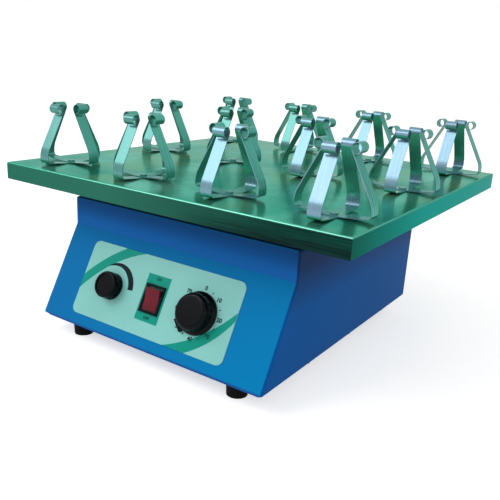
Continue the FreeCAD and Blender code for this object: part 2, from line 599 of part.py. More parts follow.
def make_switch():
    face, rise = "Sizes.plate_thickness", "Sizes.bezel_rise"
    bezel = middle_block("switch_bezel", ("0", "0", face), ("Sizes.bezel_width", "Sizes.bezel_height", rise))
    body_wide, body_tall = f"{SWITCH_WIDE} - Sizes.switch_gap", f"{SWITCH_TALL} - Sizes.switch_gap"
    body = middle_block("switch_body", ("0", "0", "-Sizes.switch_depth"),
                        (body_wide, body_tall, f"Sizes.switch_depth + {face}"))
    tab = ("Sizes.tab_thickness", "Sizes.tab_width", "Sizes.tab_length + 1")
    tabs = [middle_block(f"switch_tab_{index}", (f"{side} * Sizes.tab_spread", "0",
                                                 "-Sizes.switch_depth - Sizes.tab_length"), tab)
            for index, side in enumerate(SIDES)]
    floor = f"{face} + {rise} - Sizes.rocker_pit"
    pit = middle_block("switch_pit", ("0", "0", floor),
                       ("Places.switch_inner_width", "Places.switch_inner_height", "Sizes.rocker_pit + 1"))
    pin_hole = rocker_pin("switch_pin_hole", "Sizes.rocker_pin_radius + Sizes.running_fit",
                          "Places.switch_inner_width + 1.6")
    housing = cut("switch_cut", join("switch_whole", [bezel, body] + tabs), [pit, pin_hole])
    node("rocker_housing", on_panel(housing, "Sizes.switch_x", "Sizes.switch_drop"))

    length = "(Places.switch_inner_height - 2 * Sizes.rocker_clearance)"
    width = "(Places.switch_inner_width - 2 * Sizes.rocker_clearance)"
    half = f"({length} / 2 - 0.5)"
    profile = [
        (f"-{half}", "0"), (f"-{half} * 0.6", "-Sizes.rocker_depth"),
        (f"{half} * 0.6", "-Sizes.rocker_depth"), (half, "0"),
        (half, "Sizes.rocker_horn"), ("0", "Sizes.rocker_valley"), (f"-{half}", "Sizes.rocker_horn"),
    ]
    wedge = prism("rocker_wedge", "YZ_Plane", profile, width, side="Symmetric")
    pin = rocker_pin("rocker_pin", "Sizes.rocker_pin_radius", "Places.switch_inner_width + 1.4", "0")
    button = join("rocker_whole", [wedge, pin])
    on_panel(button, "Sizes.switch_x", "Sizes.switch_drop", ROCKER_PIVOT)
    button.setExpression("Placement.Rotation.Angle", "Places.panel_turn + Sizes.rocker_tilt")
    node("rocker_button", button)


def rocker_pin(name, radius, length, height=None):
    """A pin along X, at the rocker's pivot."""
    pin = turn(rod(name, ("0", "0", "0"), radius, length), Vector(0, 1, 0), "90")
    return put(pin, f"-({length}) / 2", "0", ROCKER_PIVOT if height is None else height)


# ---------------------------------------------------------------- drive

def make_drive_plate():
    sheet = slab("drive_sheet", ("0", "Places.spindle_y", "Places.drive_under"),
                 ("Sizes.drive_side", "Sizes.drive_side", "Sizes.drive_thickness"))
    round_edges(sheet, "Sizes.carrier_corner", upright)
    below, through = "Places.drive_under - 1", "Sizes.drive_thickness + 2"
    tools = [rod("drive_spindle_hole", ("0", "Places.spindle_y", below),
                 "Sizes.spindle_radius + Sizes.turning_gap", through)]
    for spot, (side, end) in IDLER_SPOTS.items():
        x, y = idler_spot(side, end)
        tools.append(rod(f"drive_idler_hole_{spot}", (x, y, below),
                         "Sizes.idler_pin_radius + Sizes.turning_gap", through))
    for index, (x, y) in enumerate(deck_screw_spots()):
        tools.append(rod(f"drive_screw_hole_{index}", (x, y, below), BASE_SCREW_HOLE, through))
    node("drive_plate", cut("drive_cut", sheet, tools))

    screws = []
    for index, (x, y) in enumerate(deck_screw_spots()):
        head = rod(f"drive_head_{index}", (x, y, "Places.cabinet_top"), BASE_SCREW_HEAD,
                   "Sizes.base_head")
        shank = rod(f"drive_shank_{index}", (x, y, "Places.drive_under - 4"), "Sizes.base_screw_radius",
                    "Places.cabinet_top - Places.drive_under + 4")
        nut = rod(f"drive_nut_{index}", (x, y, "Places.drive_under - Sizes.small_nut"),
                  "Sizes.small_nut_radius", "Sizes.small_nut")
        screws.append(join(f"drive_screw_{index}", [head, shank, nut]))
    node("drive_screws", group("drive_screw_group", screws))


def make_spindle_housing():
    length, flange = "Sizes.housing_length", "Sizes.housing_flange"
    seat = "Sizes.spindle_bearing_radius + Sizes.press_gap"
    waist = "Sizes.spindle_bearing_radius - 4"
    deep = "Sizes.spindle_bearing_width"
    profile = [
        (seat, "0"), ("Sizes.housing_radius", "0"), ("Sizes.housing_radius", f"{length} - {flange}"),
        ("Sizes.housing_flange_radius", f"{length} - {flange}"), ("Sizes.housing_flange_radius", length),
        (seat, length), (seat, f"{length} - {deep}"), (waist, f"{length} - {deep}"), (waist, deep),
        (seat, deep),
    ]
    housing = put(turned("housing_turned", profile), "0", "Places.spindle_y", "Places.housing_end")
    node("spindle_housing", housing)
    bore = "Sizes.spindle_radius + Sizes.running_fit"
    bearings = [ring(f"spindle_bearing_{index}", ("0", "Places.spindle_y", level), bore,
                     "Sizes.spindle_bearing_radius", deep)
                for index, level in enumerate(("Places.housing_end", f"Places.drive_under - {deep}"))]
    node("spindle_bearings", group("spindle_bearing_group", bearings))


def make_crank():
    x, y = "0", "Places.spindle_y"
    foot = "Places.belt_z - Sizes.pulley_hub_length / 2"
    socket = "Places.crank_z + Sizes.crank_thickness - Sizes.crank_web"
    node("spindle_shaft", rod("spindle_rod", (x, y, foot), "Sizes.spindle_radius", f"{socket} - ({foot})"))

    disc = rod("crank_disc", (x, y, "Places.crank_z"), "Sizes.crank_radius", "Sizes.crank_thickness")
    pin = rod("crank_pin", (x, "Places.deck_y", "Places.crank_top - 1"), "Sizes.crank_pin_radius",
              "Places.carrier_under - Places.crank_top")
    shaft_socket = rod("crank_socket", (x, y, "Places.crank_z - 1"),
                       "Sizes.spindle_radius", f"{socket} - Places.crank_z + 1")
    node("crank_head", cut("crank_cut", join("crank_whole", [disc, pin]), [shaft_socket]))

    level, thick = "Places.counterweight_z", "Sizes.counterweight_thickness"
    disc = rod("counterweight_disc", (x, y, level), "Sizes.counterweight_radius", thick)
    reach = "Sizes.counterweight_radius + 1"
    far_half = block("counterweight_trim", (f"-({reach})", f"{y} + Sizes.crank_radius * 0.5", f"{level} - 1"),
                     (f"2 * ({reach})", reach, f"{thick} + 2"))
    bore = rod("counterweight_bore", (x, y, f"{level} - 1"), "Sizes.spindle_radius", f"{thick} + 2")
    wings = [block(f"counterweight_wing_{index}", (low, f"{y} - Sizes.crank_radius * 0.5", f"{level} - 1"),
                   (f"{reach} - Sizes.crank_radius", "2 * Sizes.crank_radius", f"{thick} + 2"))
             for index, low in enumerate((f"-({reach})", "Sizes.crank_radius"))]
    node("counterweight", cut("counterweight_cut", disc, [far_half, bore] + wings))


def grooved_rim(groove, inner, height):
    """Right-hand part of a pulley's half section, going up its grooved rim."""
    rim, half = f"{groove} + Sizes.flange_rise", "Places.groove_width / 2"
    middle = f"({height}) / 2"
    low, high = f"{middle} - {half}", f"{middle} + {half}"
    return [
        (inner, f"{low} - Sizes.pulley_flange"), (rim, f"{low} - Sizes.pulley_flange"), (rim, low),
        (groove, low), (groove, high), (rim, high), (rim, f"{high} + Sizes.pulley_flange"),
        (inner, f"{high} + Sizes.pulley_flange"),
    ]


def make_pulleys():
    length, groove = "Sizes.pulley_hub_length", "Sizes.groove_radius"
    inner = f"{groove} - Sizes.rim_thickness"
    web_low, web_high = f"({length} - Sizes.pulley_web) / 2", f"({length} + Sizes.pulley_web) / 2"
    profile = [("Sizes.spindle_radius", "0"), ("Sizes.pulley_hub_radius", "0"),
               ("Sizes.pulley_hub_radius", web_low), (inner, web_low)]
    profile += grooved_rim(groove, inner, length)
    profile += [(inner, web_high), ("Sizes.pulley_hub_radius", web_high),
                ("Sizes.pulley_hub_radius", length), ("Sizes.spindle_radius", length)]
    wheel = turned("drive_pulley_turned", profile)
    holes = []
    for index in range(5):
        angle = f"{index} * 72"
        spot = (f"Sizes.lightening_circle * cos({angle})", f"Sizes.lightening_circle * sin({angle})", "0")
        holes.append(rod(f"pulley_hole_{index}", spot, "Sizes.lightening_radius", length))
    wheel = cut("drive_pulley_cut", wheel, holes)
    low = f"Places.belt_z - {length} / 2"
    node("drive_pulley", put(wheel, "0", "Places.spindle_y", low))

    profile = [("Sizes.motor_shaft_radius", "0"), ("Sizes.motor_groove_radius - 4", "0")]
    profile += grooved_rim("Sizes.motor_groove_radius", "Sizes.motor_groove_radius - 4", length)
    profile += [("Sizes.motor_groove_radius - 4", length), ("Sizes.motor_shaft_radius", length)]
    node("motor_pulley", put(turned("motor_pulley_turned", profile), "0", "Places.motor_y", low))


def belt_loop(near_radius, far_radius, distance):
    """The face inside a belt that runs round two pulleys, the second one to the rear."""
    slope = math.asin((near_radius - far_radius) / distance)
    side = Vector(math.cos(slope), math.sin(slope), 0)
    other = Vector(-side.x, side.y, 0)
    far = Vector(0, distance, 0)
    near_right, near_left = side * near_radius, other * near_radius
    far_right, far_left = far + side * far_radius, far + other * far_radius
    edges = [
        Part.Arc(near_left, Vector(0, -near_radius, 0), near_right).toShape(),
        Part.LineSegment(near_right, far_right).toShape(),
        Part.Arc(far_right, far + Vector(0, far_radius, 0), far_left).toShape(),
        Part.LineSegment(far_left, near_left).toShape(),
    ]
    return Part.Face(Part.Wire(edges))


def make_belt():
    seat, distance = sizes.belt_seat, sizes.motor_offset
    near, far = sizes.groove_radius + seat, sizes.motor_groove_radius + seat
    thick = sizes.belt_thickness
    band = belt_loop(near + thick, far + thick, distance).cut(belt_loop(near, far, distance))
    belt = fresh("Part::Feature", "belt_band")
    belt.Shape = band.extrude(Vector(0, 0, sizes.belt_width))
    belt.Placement = Placement(Vector(0, number("Places.spindle_y"),
                                      number("Places.belt_z - Sizes.belt_width / 2")), Rotation())
    node("drive_belt", belt)


def make_motor():
    y, bottom, top = "Places.motor_y", "Places.can_bottom", "Places.can_top"
    wall, shaft = "Sizes.motor_wall", "Sizes.motor_shaft_radius + Sizes.running_fit"
    inner = f"Sizes.motor_radius - {wall}"
    can = [(shaft, "0"), ("Sizes.motor_radius", "0"), ("Sizes.motor_radius", "Sizes.motor_length"),
           (inner, "Sizes.motor_length"), (inner, wall), (shaft, wall)]
    node("motor_can", put(turned("can_turned", can), "0", y, bottom))
    pocket = "Sizes.motor_cap - 2"
    cap = [(shaft, "0"), ("Sizes.motor_cap_radius", "0"), ("Sizes.motor_cap_radius", "Sizes.motor_cap"),
           ("0", "Sizes.motor_cap"), ("0", pocket), (shaft, pocket)]
    node("motor_cap", put(turned("cap_turned", cap), "0", y, top))

    magnets = []
    low = f"{bottom} + {wall} + (Sizes.motor_length - {wall} - Sizes.armature_length) / 2"
    for index, sign in enumerate(SIDES):
        hoop = ring(f"magnet_hoop_{index}", ("0", y, low), f"{inner} - Sizes.magnet_thickness",
                    f"{inner} - Sizes.glue_gap", "Sizes.armature_length")
        slice_low = "Sizes.magnet_spread" if sign == "1" else "-Sizes.magnet_spread - 2 * Sizes.motor_radius"
        half = block(f"magnet_slice_{index}", (slice_low, f"{y} - Sizes.motor_radius", f"{low} - 1"),
                     ("2 * Sizes.motor_radius", "2 * Sizes.motor_radius", "Sizes.armature_length + 2"))
        piece = fresh("Part::Common", f"magnet_{index}")
        piece.Base, piece.Tool = hoop, half
        magnets.append(piece)
    node("motor_magnets", group("magnet_group", magnets))
    node("motor_armature", ring("armature_ring", ("0", y, low), "Sizes.motor_shaft_radius",
                                f"{inner} - Sizes.magnet_thickness - Sizes.air_gap",
                                "Sizes.armature_length"))
    foot = "Places.belt_z - Sizes.pulley_hub_length / 2"
    node("motor_shaft", rod("motor_rod", ("0", y, foot), "Sizes.motor_shaft_radius",
                            f"{top} + {pocket} - 0.3 - ({foot})"))


def make_idlers():
    pin, bearing = "Sizes.idler_pin_radius", "Sizes.idler_bearing_radius"
    seat, wide = f"{bearing} + Sizes.press_gap", "Sizes.idler_bearing_width"
    shell, length = f"{bearing} + Sizes.idler_wall", "Sizes.idler_housing_length"
    flange = "Sizes.idler_flange_radius"
    housing = [(seat, "0"), (shell, "0"), (shell, f"{length} - Sizes.idler_flange"),
               (flange, f"{length} - Sizes.idler_flange"), (flange, length), (seat, length)]
    cup_height = "Places.carrier_under - Places.idler_cup_z"
    cup = [(seat, "0"), (shell, "0"), (shell, cup_height), ("0", cup_height),
           ("0", f"{cup_height} - 2"), (seat, f"{cup_height} - 2")]
    bottom = f"Places.drive_under - {length}"
    upper = f"Places.carrier_under - 3 - {wide}"
    housings, lower_bearings, cups, upper_bearings = [], [], [], []
    for spot, (side, end) in IDLER_SPOTS.items():
        x, y = idler_spot(side, end)
        deck_side = f"{y} + Sizes.crank_throw"
        housings.append(put(turned(f"idler_housing_{spot}", housing), x, y, bottom))
        for index, level in enumerate((bottom, f"Places.drive_under - {wide}")):
            lower_bearings.append(ring(f"idler_bearing_{spot}_{index}", (x, y, level),
                                       f"{pin} + Sizes.running_fit", bearing, wide))
        cups.append(put(turned(f"idler_cup_{spot}", cup), x, deck_side, "Places.idler_cup_z"))
        upper_bearings.append(ring(f"deck_bearing_{spot}", (x, deck_side, upper),
                                   f"{pin} + Sizes.idler_pin_gap", bearing, wide))
        make_idler_crank(spot, x, y, deck_side, bottom)
    node("idler_housings", group("idler_housing_group", housings))
    node("idler_bearings", group("idler_bearing_group", lower_bearings))
    node("idler_cups", group("idler_cup_group", cups))
    node("deck_idler_bearings", group("deck_bearing_group", upper_bearings))


def make_idler_crank(spot, x, y, deck_side, bottom):
    pin, web = "Sizes.idler_pin_radius", "Places.idler_web_z"
    thick, boss = "Sizes.idler_web", "2 * Sizes.idler_pin_radius"
    lower = rod(f"idler_lower_{spot}", (x, y, bottom), pin, f"{web} - ({bottom}) + 1")
    upper = rod(f"idler_upper_{spot}", (x, deck_side, web), pin, f"Places.carrier_under - 2.6 - {web}")
    near = rod(f"idler_near_{spot}", (x, y, web), boss, thick)
    far = rod(f"idler_far_{spot}", (x, deck_side, web), boss, thick)
    bar = block(f"idler_bar_{spot}", (f"{x} - ({boss})", y, web), (f"2 * ({boss})", "Sizes.crank_throw", thick))
    node(f"idler_crank_{spot}", join(f"idler_{spot}", [lower, upper, near, far, bar]))


# ---------------------------------------------------------------- deck

def make_tray():
    centre = ("0", "Places.deck_y", "Places.lip_under")
    outer = slab("tray_outside", centre, ("Sizes.tray_width", "Sizes.tray_depth", "Sizes.lip_depth"))
    level = number("Places.tray_top")
    round_edges(outer, "Sizes.tray_bend", lambda edge: top_edge(edge, level))
    wall = "2 * Sizes.tray_sheet"
    inner = slab("tray_inside", (centre[0], centre[1], "Places.lip_under - 1"),
                 (f"Sizes.tray_width - {wall}", f"Sizes.tray_depth - {wall}",
                  "Sizes.lip_depth + 1 - Sizes.tray_sheet"))
    level = number("Places.tray_under")
    round_edges(inner, "Sizes.tray_bend - Sizes.tray_sheet", lambda edge: top_edge(edge, level))
    tools = [inner]
    for row, column in CLAMP_SPOTS:
        x, y = clamp_spot(row, column)
        tools.append(rod(f"tray_hole_{row}_{column}", (x, y, "Places.tray_under - 1"), CLAMP_HOLE,
                         "Sizes.tray_sheet + 2"))
    node("platform_tray", cut("tray_cut", outer, tools))


def make_carrier():
    sheet = slab("carrier_sheet", ("0", "Places.deck_y", "Places.carrier_under"),
                 ("Sizes.carrier_side", "Sizes.carrier_side", "Sizes.carrier_thickness"))
    round_edges(sheet, "Sizes.carrier_corner", upright)
    holes = []
    for row, column in CLAMP_SPOTS:
        if over_carrier(row, column):
            x, y = clamp_spot(row, column)
            holes.append(rod(f"carrier_hole_{row}_{column}", (x, y, "Places.carrier_under - 1"),
                             CLAMP_HOLE, "Sizes.carrier_thickness + 2"))
    node("platform_carrier", cut("carrier_cut", sheet, holes))

    height = "Places.carrier_under - Places.hub_z"
    seat = "Sizes.crank_bearing_radius + Sizes.press_gap"
    hub = [(seat, "0"), ("Sizes.hub_radius", "0"), ("Sizes.hub_radius", f"{height} - Sizes.hub_flange"),
           ("Sizes.hub_flange_radius", f"{height} - Sizes.hub_flange"),
           ("Sizes.hub_flange_radius", height), (seat, height)]
    node("platform_hub", put(turned("hub_turned", hub), "0", "Places.deck_y", "Places.hub_z"))
    node("platform_bearing", ring("crank_bearing", ("0", "Places.deck_y", "Places.hub_z + 1"),
                                  "Sizes.crank_pin_radius + Sizes.running_fit",
                                  "Sizes.crank_bearing_radius", "Sizes.crank_bearing_width"))


def strip_outline():
    """Mid-line of one clamp strip, in its own plane: two fingers that rise from a flat middle,
    lean in and end in a curl. Every bend is an arc that meets its straight runs smoothly."""
    moves = [
        ("run", sizes.strip_flat, 0),
        ("bend", sizes.lift_radius, sizes.lift_angle),
        ("reach", sizes.limb_reach, 0),
        ("bend", sizes.heel_radius, 90 - sizes.lift_angle),
        ("run", sizes.riser, 0),
        ("bend", sizes.knee_radius, sizes.finger_lean),
        ("run", sizes.finger_length, 0),
        ("bend", sizes.curl_radius, -sizes.curl_angle),
    ]
    spot, heading, edges = Vector(0, 0, 0), 0.0, []
    for kind, amount, angle in moves:
        ahead = Vector(math.cos(heading), math.sin(heading), 0)
        if kind == "bend":
            left = Vector(-ahead.y, ahead.x, 0) * math.copysign(1, angle)
            centre, swing = spot + left * amount, math.radians(angle)
            stops = [centre + Rotation(Vector(0, 0, 1), math.degrees(swing * share)).multVec(spot - centre)
                     for share in (0.5, 1)]
            edges.append(Part.Arc(spot, *stops).toShape())
            spot, heading = stops[1], heading + swing
            continue
        length = amount
        if kind == "reach":
            turned_in = sizes.heel_radius * (1 - math.sin(heading))
            length = (amount - turned_in - spot.x) / ahead.x
        stop = spot + ahead * length
        edges.append(Part.LineSegment(spot, stop).toShape())
        spot = stop
    mirrored = [edge.mirror(Vector(0, 0, 0), Vector(1, 0, 0)) for edge in edges]
    return Part.Wire(Part.__sortEdges__(edges + mirrored))


def spring_strip():
    """One bent strip along X, centred on its screw hole, its flat middle's underside at height 0."""
    thick, wide = sizes.strip_thickness, sizes.strip_width
    mid_line = strip_outline()
    side = mid_line.makeOffset2D(thick / 2, join=0, fill=False, openResult=True)
    face = side.makeOffset2D(-thick, join=0, fill=True, openResult=True)
    strip = face.extrude(Vector(0, 0, wide))
    strip.translate(Vector(0, 0, -wide / 2))
    strip.rotate(Vector(), Vector(1, 0, 0), 90)
    strip.translate(Vector(0, 0, thick / 2))
    hole = Part.makeCylinder(number(CLAMP_HOLE), 6, Vector(0, 0, -3))
    return strip.cut(hole)


def make_clamps():
    strip = spring_strip()
    for row, column in CLAMP_SPOTS:
        x, y = (number(rule) for rule in clamp_spot(row, column))
        pair = []
        for layer, lift, angle in (("lower", 0, 90), ("upper", sizes.strip_thickness, 0)):
            piece = fresh("Part::Feature", f"clamp_{layer}_{row}_{column}")
            piece.Shape = strip
            spot = Vector(x, y, number("Places.tray_top") + lift)
            piece.Placement = Placement(spot, Rotation(Vector(0, 0, 1), angle))
            pair.append(piece)
        node(f"clamp_{ROW_NAMES[row]}_{column + 1}", group(f"clamp_pair_{row}_{column}", pair))


def make_clamp_screws():
    head_z = "Places.tray_top + 2 * Sizes.strip_thickness"
    screws, nuts = [], []
    for row, column in CLAMP_SPOTS:
        x, y = clamp_spot(row, column)
        seat = "Places.carrier_under" if over_carrier(row, column) else "Places.tray_under"
        nut_z = f"{seat} - Sizes.nut_height"
        tag = f"{row}_{column}"
        head = rod(f"clamp_head_{tag}", (x, y, head_z), "Sizes.clamp_head_radius", "Sizes.clamp_head")
        shank = rod(f"clamp_shank_{tag}", (x, y, f"{nut_z} - 1"), "Sizes.clamp_screw_radius",
                    f"{head_z} - ({nut_z} - 1)")
        screws.append(join(f"clamp_screw_{tag}", [head, shank]))
        hexagon = fresh("Part::Prism", f"nut_hexagon_{tag}")
        bind(hexagon, {"Circumradius": "Sizes.nut_radius", "Height": "Sizes.nut_height"})
        put(hexagon, x, y, nut_z)
        bore = rod(f"nut_bore_{tag}", (x, y, f"{nut_z} - 1"), "Sizes.clamp_screw_radius",
                   "Sizes.nut_height + 2")
        nuts.append(cut(f"clamp_nut_{tag}", hexagon, [bore]))
    node("clamp_screws", group("clamp_screw_group", screws))
    node("clamp_nuts", group("clamp_nut_group", nuts))


# ---------------------------------------------------------------- electrical

def make_rear_fittings():
    gland = [
        rear_rod("gland_flange", "Sizes.gland_x", "Sizes.gland_height", "Sizes.gland_flange", "0", "3"),
        rear_rod("gland_body", "Sizes.gland_x", "Sizes.gland_height", "Sizes.gland_radius",
                 "-Sizes.gland_inside", "Sizes.gland_inside + Sizes.gland_outside"),
    ]
    bore = rear_rod("gland_bore", "Sizes.gland_x", "Sizes.gland_height", "Sizes.gland_bore",
                    "-Sizes.gland_inside - 1", "Sizes.gland_inside + Sizes.gland_outside + 2")
    node("cord_gland", cut("gland_cut", join("gland_whole", gland), [bore]))
    fuse = [
        rear_rod("fuse_cap", "Sizes.fuse_x", "Sizes.gland_height", "Sizes.fuse_cap_radius", "0",
                 "Sizes.fuse_outside"),
        rear_rod("fuse_body", "Sizes.fuse_x", "Sizes.gland_height", "Sizes.fuse_radius",
                 "-Sizes.fuse_inside", "Sizes.fuse_inside + 1"),
    ]
    node("fuse_holder", join("fuse_whole", fuse))


def make_electronics():
    floor = "Sizes.foot_height"
    board_z = f"{floor} + Sizes.standoff_height"
    spot = ("-Sizes.board_x", "Places.spindle_y")
    board = slab("board_sheet", (*spot, board_z),
                 ("Sizes.board_width", "Sizes.board_depth", "Sizes.board_thickness"))
    parts = [
        middle_block("board_sink", ("-Sizes.board_x - Sizes.sink_x", "Places.spindle_y", f"{board_z} + 1"),
                     ("Sizes.sink_width", "Sizes.sink_depth", "Sizes.sink_height")),
        rod("board_capacitor", ("-Sizes.board_x + Sizes.capacitor_x",
                                "Places.spindle_y - Sizes.capacitor_y", f"{board_z} + 1"),
            "Sizes.capacitor_radius", "Sizes.capacitor_height"),
        rod("board_trimmer", ("-Sizes.board_x + Sizes.trimmer_x",
                              "Places.spindle_y + Sizes.trimmer_y", f"{board_z} + 1"),
            "Sizes.trimmer_radius", "Sizes.trimmer_height"),
    ]
    node("control_board", join("board_whole", [board] + parts))
    posts = []
    for index, (side, end) in enumerate(IDLER_SPOTS.values()):
        x = f"-Sizes.board_x + {side} * (Sizes.board_width / 2 - 5)"
        y = f"Places.spindle_y + {end} * (Sizes.board_depth / 2 - 5)"
        posts.append(rod(f"standoff_{index}", (x, y, floor), "Sizes.standoff_radius",
                         "Sizes.standoff_height"))
    node("board_standoffs", group("standoff_group", posts))
    core = middle_block("transformer_core", ("Sizes.board_x", "Places.spindle_y", floor),
                        ("Sizes.transformer_width", "Sizes.transformer_depth", "Sizes.transformer_height"))
    winding = middle_block("transformer_winding", ("Sizes.board_x", "Places.spindle_y", f"{floor} + 8"),
                           ("Sizes.winding_width", "Sizes.winding_depth",
                            "Sizes.transformer_height - 16"))
    node("transformer", join("transformer_whole", [core, winding]))


# ---------------------------------------------------------------- build, check and write

def check_document():
    doc.recompute()
    for thing in doc.Objects:
        if {"Invalid", "Error"} & set(thing.State):
            raise RuntimeError(f"{thing.Label} failed: {thing.State}")
    for label, thing in NODES.items():
        if thing.Shape.isNull() or not thing.Shape.isValid() or not thing.Shape.Solids:
            raise RuntimeError(f"{label} has no sound solid")


def write_nodes():
    for label, thing in NODES.items():
        thing.Shape.exportStep(f"parts/{label}.step")
        print(f"{label:28s} solids {len(thing.Shape.Solids):2d}  volume {thing.Shape.Volume:12.1f}")


def main():
    makers = (
        make_cabinet, make_base, make_feet, make_control_plate, make_speed_control, make_timer,
        make_switch, make_drive_plate, make_spindle_housing, make_crank, make_pulleys, make_belt,
        make_motor, make_idlers, make_tray, make_carrier, make_clamps, make_clamp_screws,
        make_rear_fittings, make_electronics,
    )
    for maker in makers:
        maker()
    check_document()
    write_nodes()


main()
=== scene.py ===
"""Finishes, panel printing and a plain studio for a laboratory orbital shaker."""
import math

import bmesh
import bpy
from mathutils import Matrix, Vector


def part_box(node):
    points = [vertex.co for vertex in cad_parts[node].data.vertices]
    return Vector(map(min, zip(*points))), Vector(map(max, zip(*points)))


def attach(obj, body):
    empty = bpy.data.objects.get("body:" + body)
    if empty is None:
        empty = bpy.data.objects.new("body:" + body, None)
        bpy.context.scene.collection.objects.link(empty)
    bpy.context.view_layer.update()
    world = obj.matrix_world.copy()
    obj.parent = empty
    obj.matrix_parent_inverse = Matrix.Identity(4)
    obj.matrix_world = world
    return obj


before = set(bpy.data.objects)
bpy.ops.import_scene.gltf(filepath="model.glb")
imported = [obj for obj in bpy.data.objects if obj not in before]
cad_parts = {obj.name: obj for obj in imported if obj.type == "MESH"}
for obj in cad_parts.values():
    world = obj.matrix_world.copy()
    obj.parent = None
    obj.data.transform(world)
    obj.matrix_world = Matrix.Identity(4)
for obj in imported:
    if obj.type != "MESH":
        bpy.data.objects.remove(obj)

bl_info = {
    "name": "Orbital Shaker Looks",
    "version": (1, 0, 0),
    "blender": (4, 5, 0),
    "location": "View3D > Sidebar > Shaker",
    "description": "Finishes, panel printing and a plain studio for a laboratory orbital shaker",
    "category": "Object",
}

ALONG = Vector((1, 0, 0))
PANEL_WAY = (0, -0.88, 0.47)        # square out of the sloping panel
CAPITAL = 0.73                      # a capital's height, as a share of its type size
MERGE = 1e-6                        # corners nearer than this become one
TYPE_WEIGHT = 0.05                  # how far letters are thickened, as a share of their height


# ---------------------------------------------------------------- settings

def shade(label, red, green, blue):
    """A colour setting, given as it looks on a screen."""
    return bpy.props.FloatVectorProperty(
        name=label, description=f"Colour of the {label.lower()}", subtype="COLOR",
        size=3, min=0, max=1, default=[linear(channel) for channel in (red, green, blue)])


def linear(channel):
    """A screen colour's channel as an amount of light."""
    return channel / 12.92 if channel <= 0.04045 else ((channel + 0.055) / 1.055) ** 2.4


def length(label, description, default):
    return bpy.props.FloatProperty(
        name=label, description=description, default=default, unit="LENGTH", precision=4)


def span(label, description, start, end):
    """Two places along one line."""
    return bpy.props.FloatVectorProperty(
        name=label, description=description, size=2, default=(start, end), unit="LENGTH", precision=4)


def angle(label, description, degrees):
    return bpy.props.FloatProperty(
        name=label, description=description, subtype="ANGLE", default=math.radians(degrees))


def point(label, description, spot):
    return bpy.props.FloatVectorProperty(
        name=label, description=description, subtype="TRANSLATION", unit="LENGTH", default=spot)


class ShakerColours(bpy.types.PropertyGroup):
    """The colours of the finishes, with painted light, shade and reflections among them."""

    # Painted light and shade: one blue paint, in lit copies for the up-facing panel and the brow and a
    # shaded copy for the upright sides
    panel_paint_lit: shade("Cabinet paint on the panel", 0.085, 0.47, 0.72)
    # Painted light: the panel turns paler towards its lower right
    panel_painted_light: shade("Paint at the panel's lit edge", 0.04, 0.54, 0.78)
    brow_paint_lit: shade("Cabinet paint above the panel", 0.13, 0.44, 0.76)
    body_paint_shaded: shade("Cabinet paint on the upright sides", 0.05, 0.37, 0.67)
    # Painted shadow of the deck on the cabinet's upper upright faces
    painted_deck_shadow: shade("Cabinet paint high up under the deck", 0.13, 0.22, 0.40)
    plate: shade("Control plate", 0.56, 0.84, 0.81)
    # Painted highlight: the plate's cut edge made paler
    plate_rim_highlight: shade("Cut edge of the control plate", 0.76, 0.93, 0.93)
    green_ink: shade("Green ink", 0.0, 0.62, 0.54)
    dial_ink: shade("Dial ink", 0.0, 0.27, 0.22)
    dark_ink: shade("Dark ink", 0.0, 0.10, 0.12)
    knob: shade("Knob plastic", 0.02, 0.03, 0.04)
    bezel: shade("Switch frame plastic", 0.02, 0.05, 0.07)
    rocker: shade("Rocker", 0.46, 0.15, 0.20)
    deck: shade("Deck steel", 0.34, 0.71, 0.60)
    # Painted reflections on the deck's top: dark, pale and warm cloudy patches; the dark colour also tints
    # the brush scratches
    deck_dark_reflection_and_scratch: shade("Dark patches of the deck", 0.19, 0.60, 0.50)
    deck_pale_reflection: shade("Pale patches of the deck", 0.54, 0.84, 0.75)
    deck_warm_reflection: shade("Warm patches of the deck", 0.54, 0.73, 0.57)
    # Painted highlight along the deck's bends
    deck_bend_highlight: shade("Bright line along the deck's bends", 0.38, 0.66, 0.58)
    # Painted reflection on the front lip, darker to the right, with painted shade at its foot
    lip_pale_reflection: shade("Deck's front lip at the left", 0.18, 0.40, 0.335)
    lip_dark_reflection: shade("Deck's front lip at the right", 0.05, 0.17, 0.155)
    lip_foot_shade: shade("Foot of the deck's front lip", 0.06, 0.06, 0.09)
    # Painted reflection on the side and rear lips, darker at the front corner
    side_lip_reflection: shade("Deck's side and rear lips", 0.0, 0.60, 0.57)
    side_lip_dark_reflection: shade("Deck's side lips at the front corner", 0.06, 0.29, 0.24)
    strip: shade("Spring strips", 0.32, 0.64, 0.58)
    # Painted light and shade on the spring strips: paler where they face forward and up, more so to the
    # right, darker where they face down
    strip_pale_lit: shade("Spring strips where they face up and forward", 0.50, 0.62, 0.70)
    strip_left_lit: shade("The same on the clamps at the left", 0.37, 0.58, 0.56)
    strip_dark_shade: shade("Spring strips on the inside", 0.32, 0.57, 0.51)
    rubber: shade("Feet", 0.05, 0.05, 0.055)
    enamel: shade("Grey enamel", 0.45, 0.48, 0.49)
    steel: shade("Turned steel", 0.66, 0.67, 0.68)
    alloy: shade("Cast alloy", 0.58, 0.60, 0.61)
    zinc: shade("Zinc plating", 0.62, 0.64, 0.62)
    iron: shade("Laminated iron", 0.20, 0.20, 0.21)
    laminate: shade("Board laminate", 0.09, 0.32, 0.16)


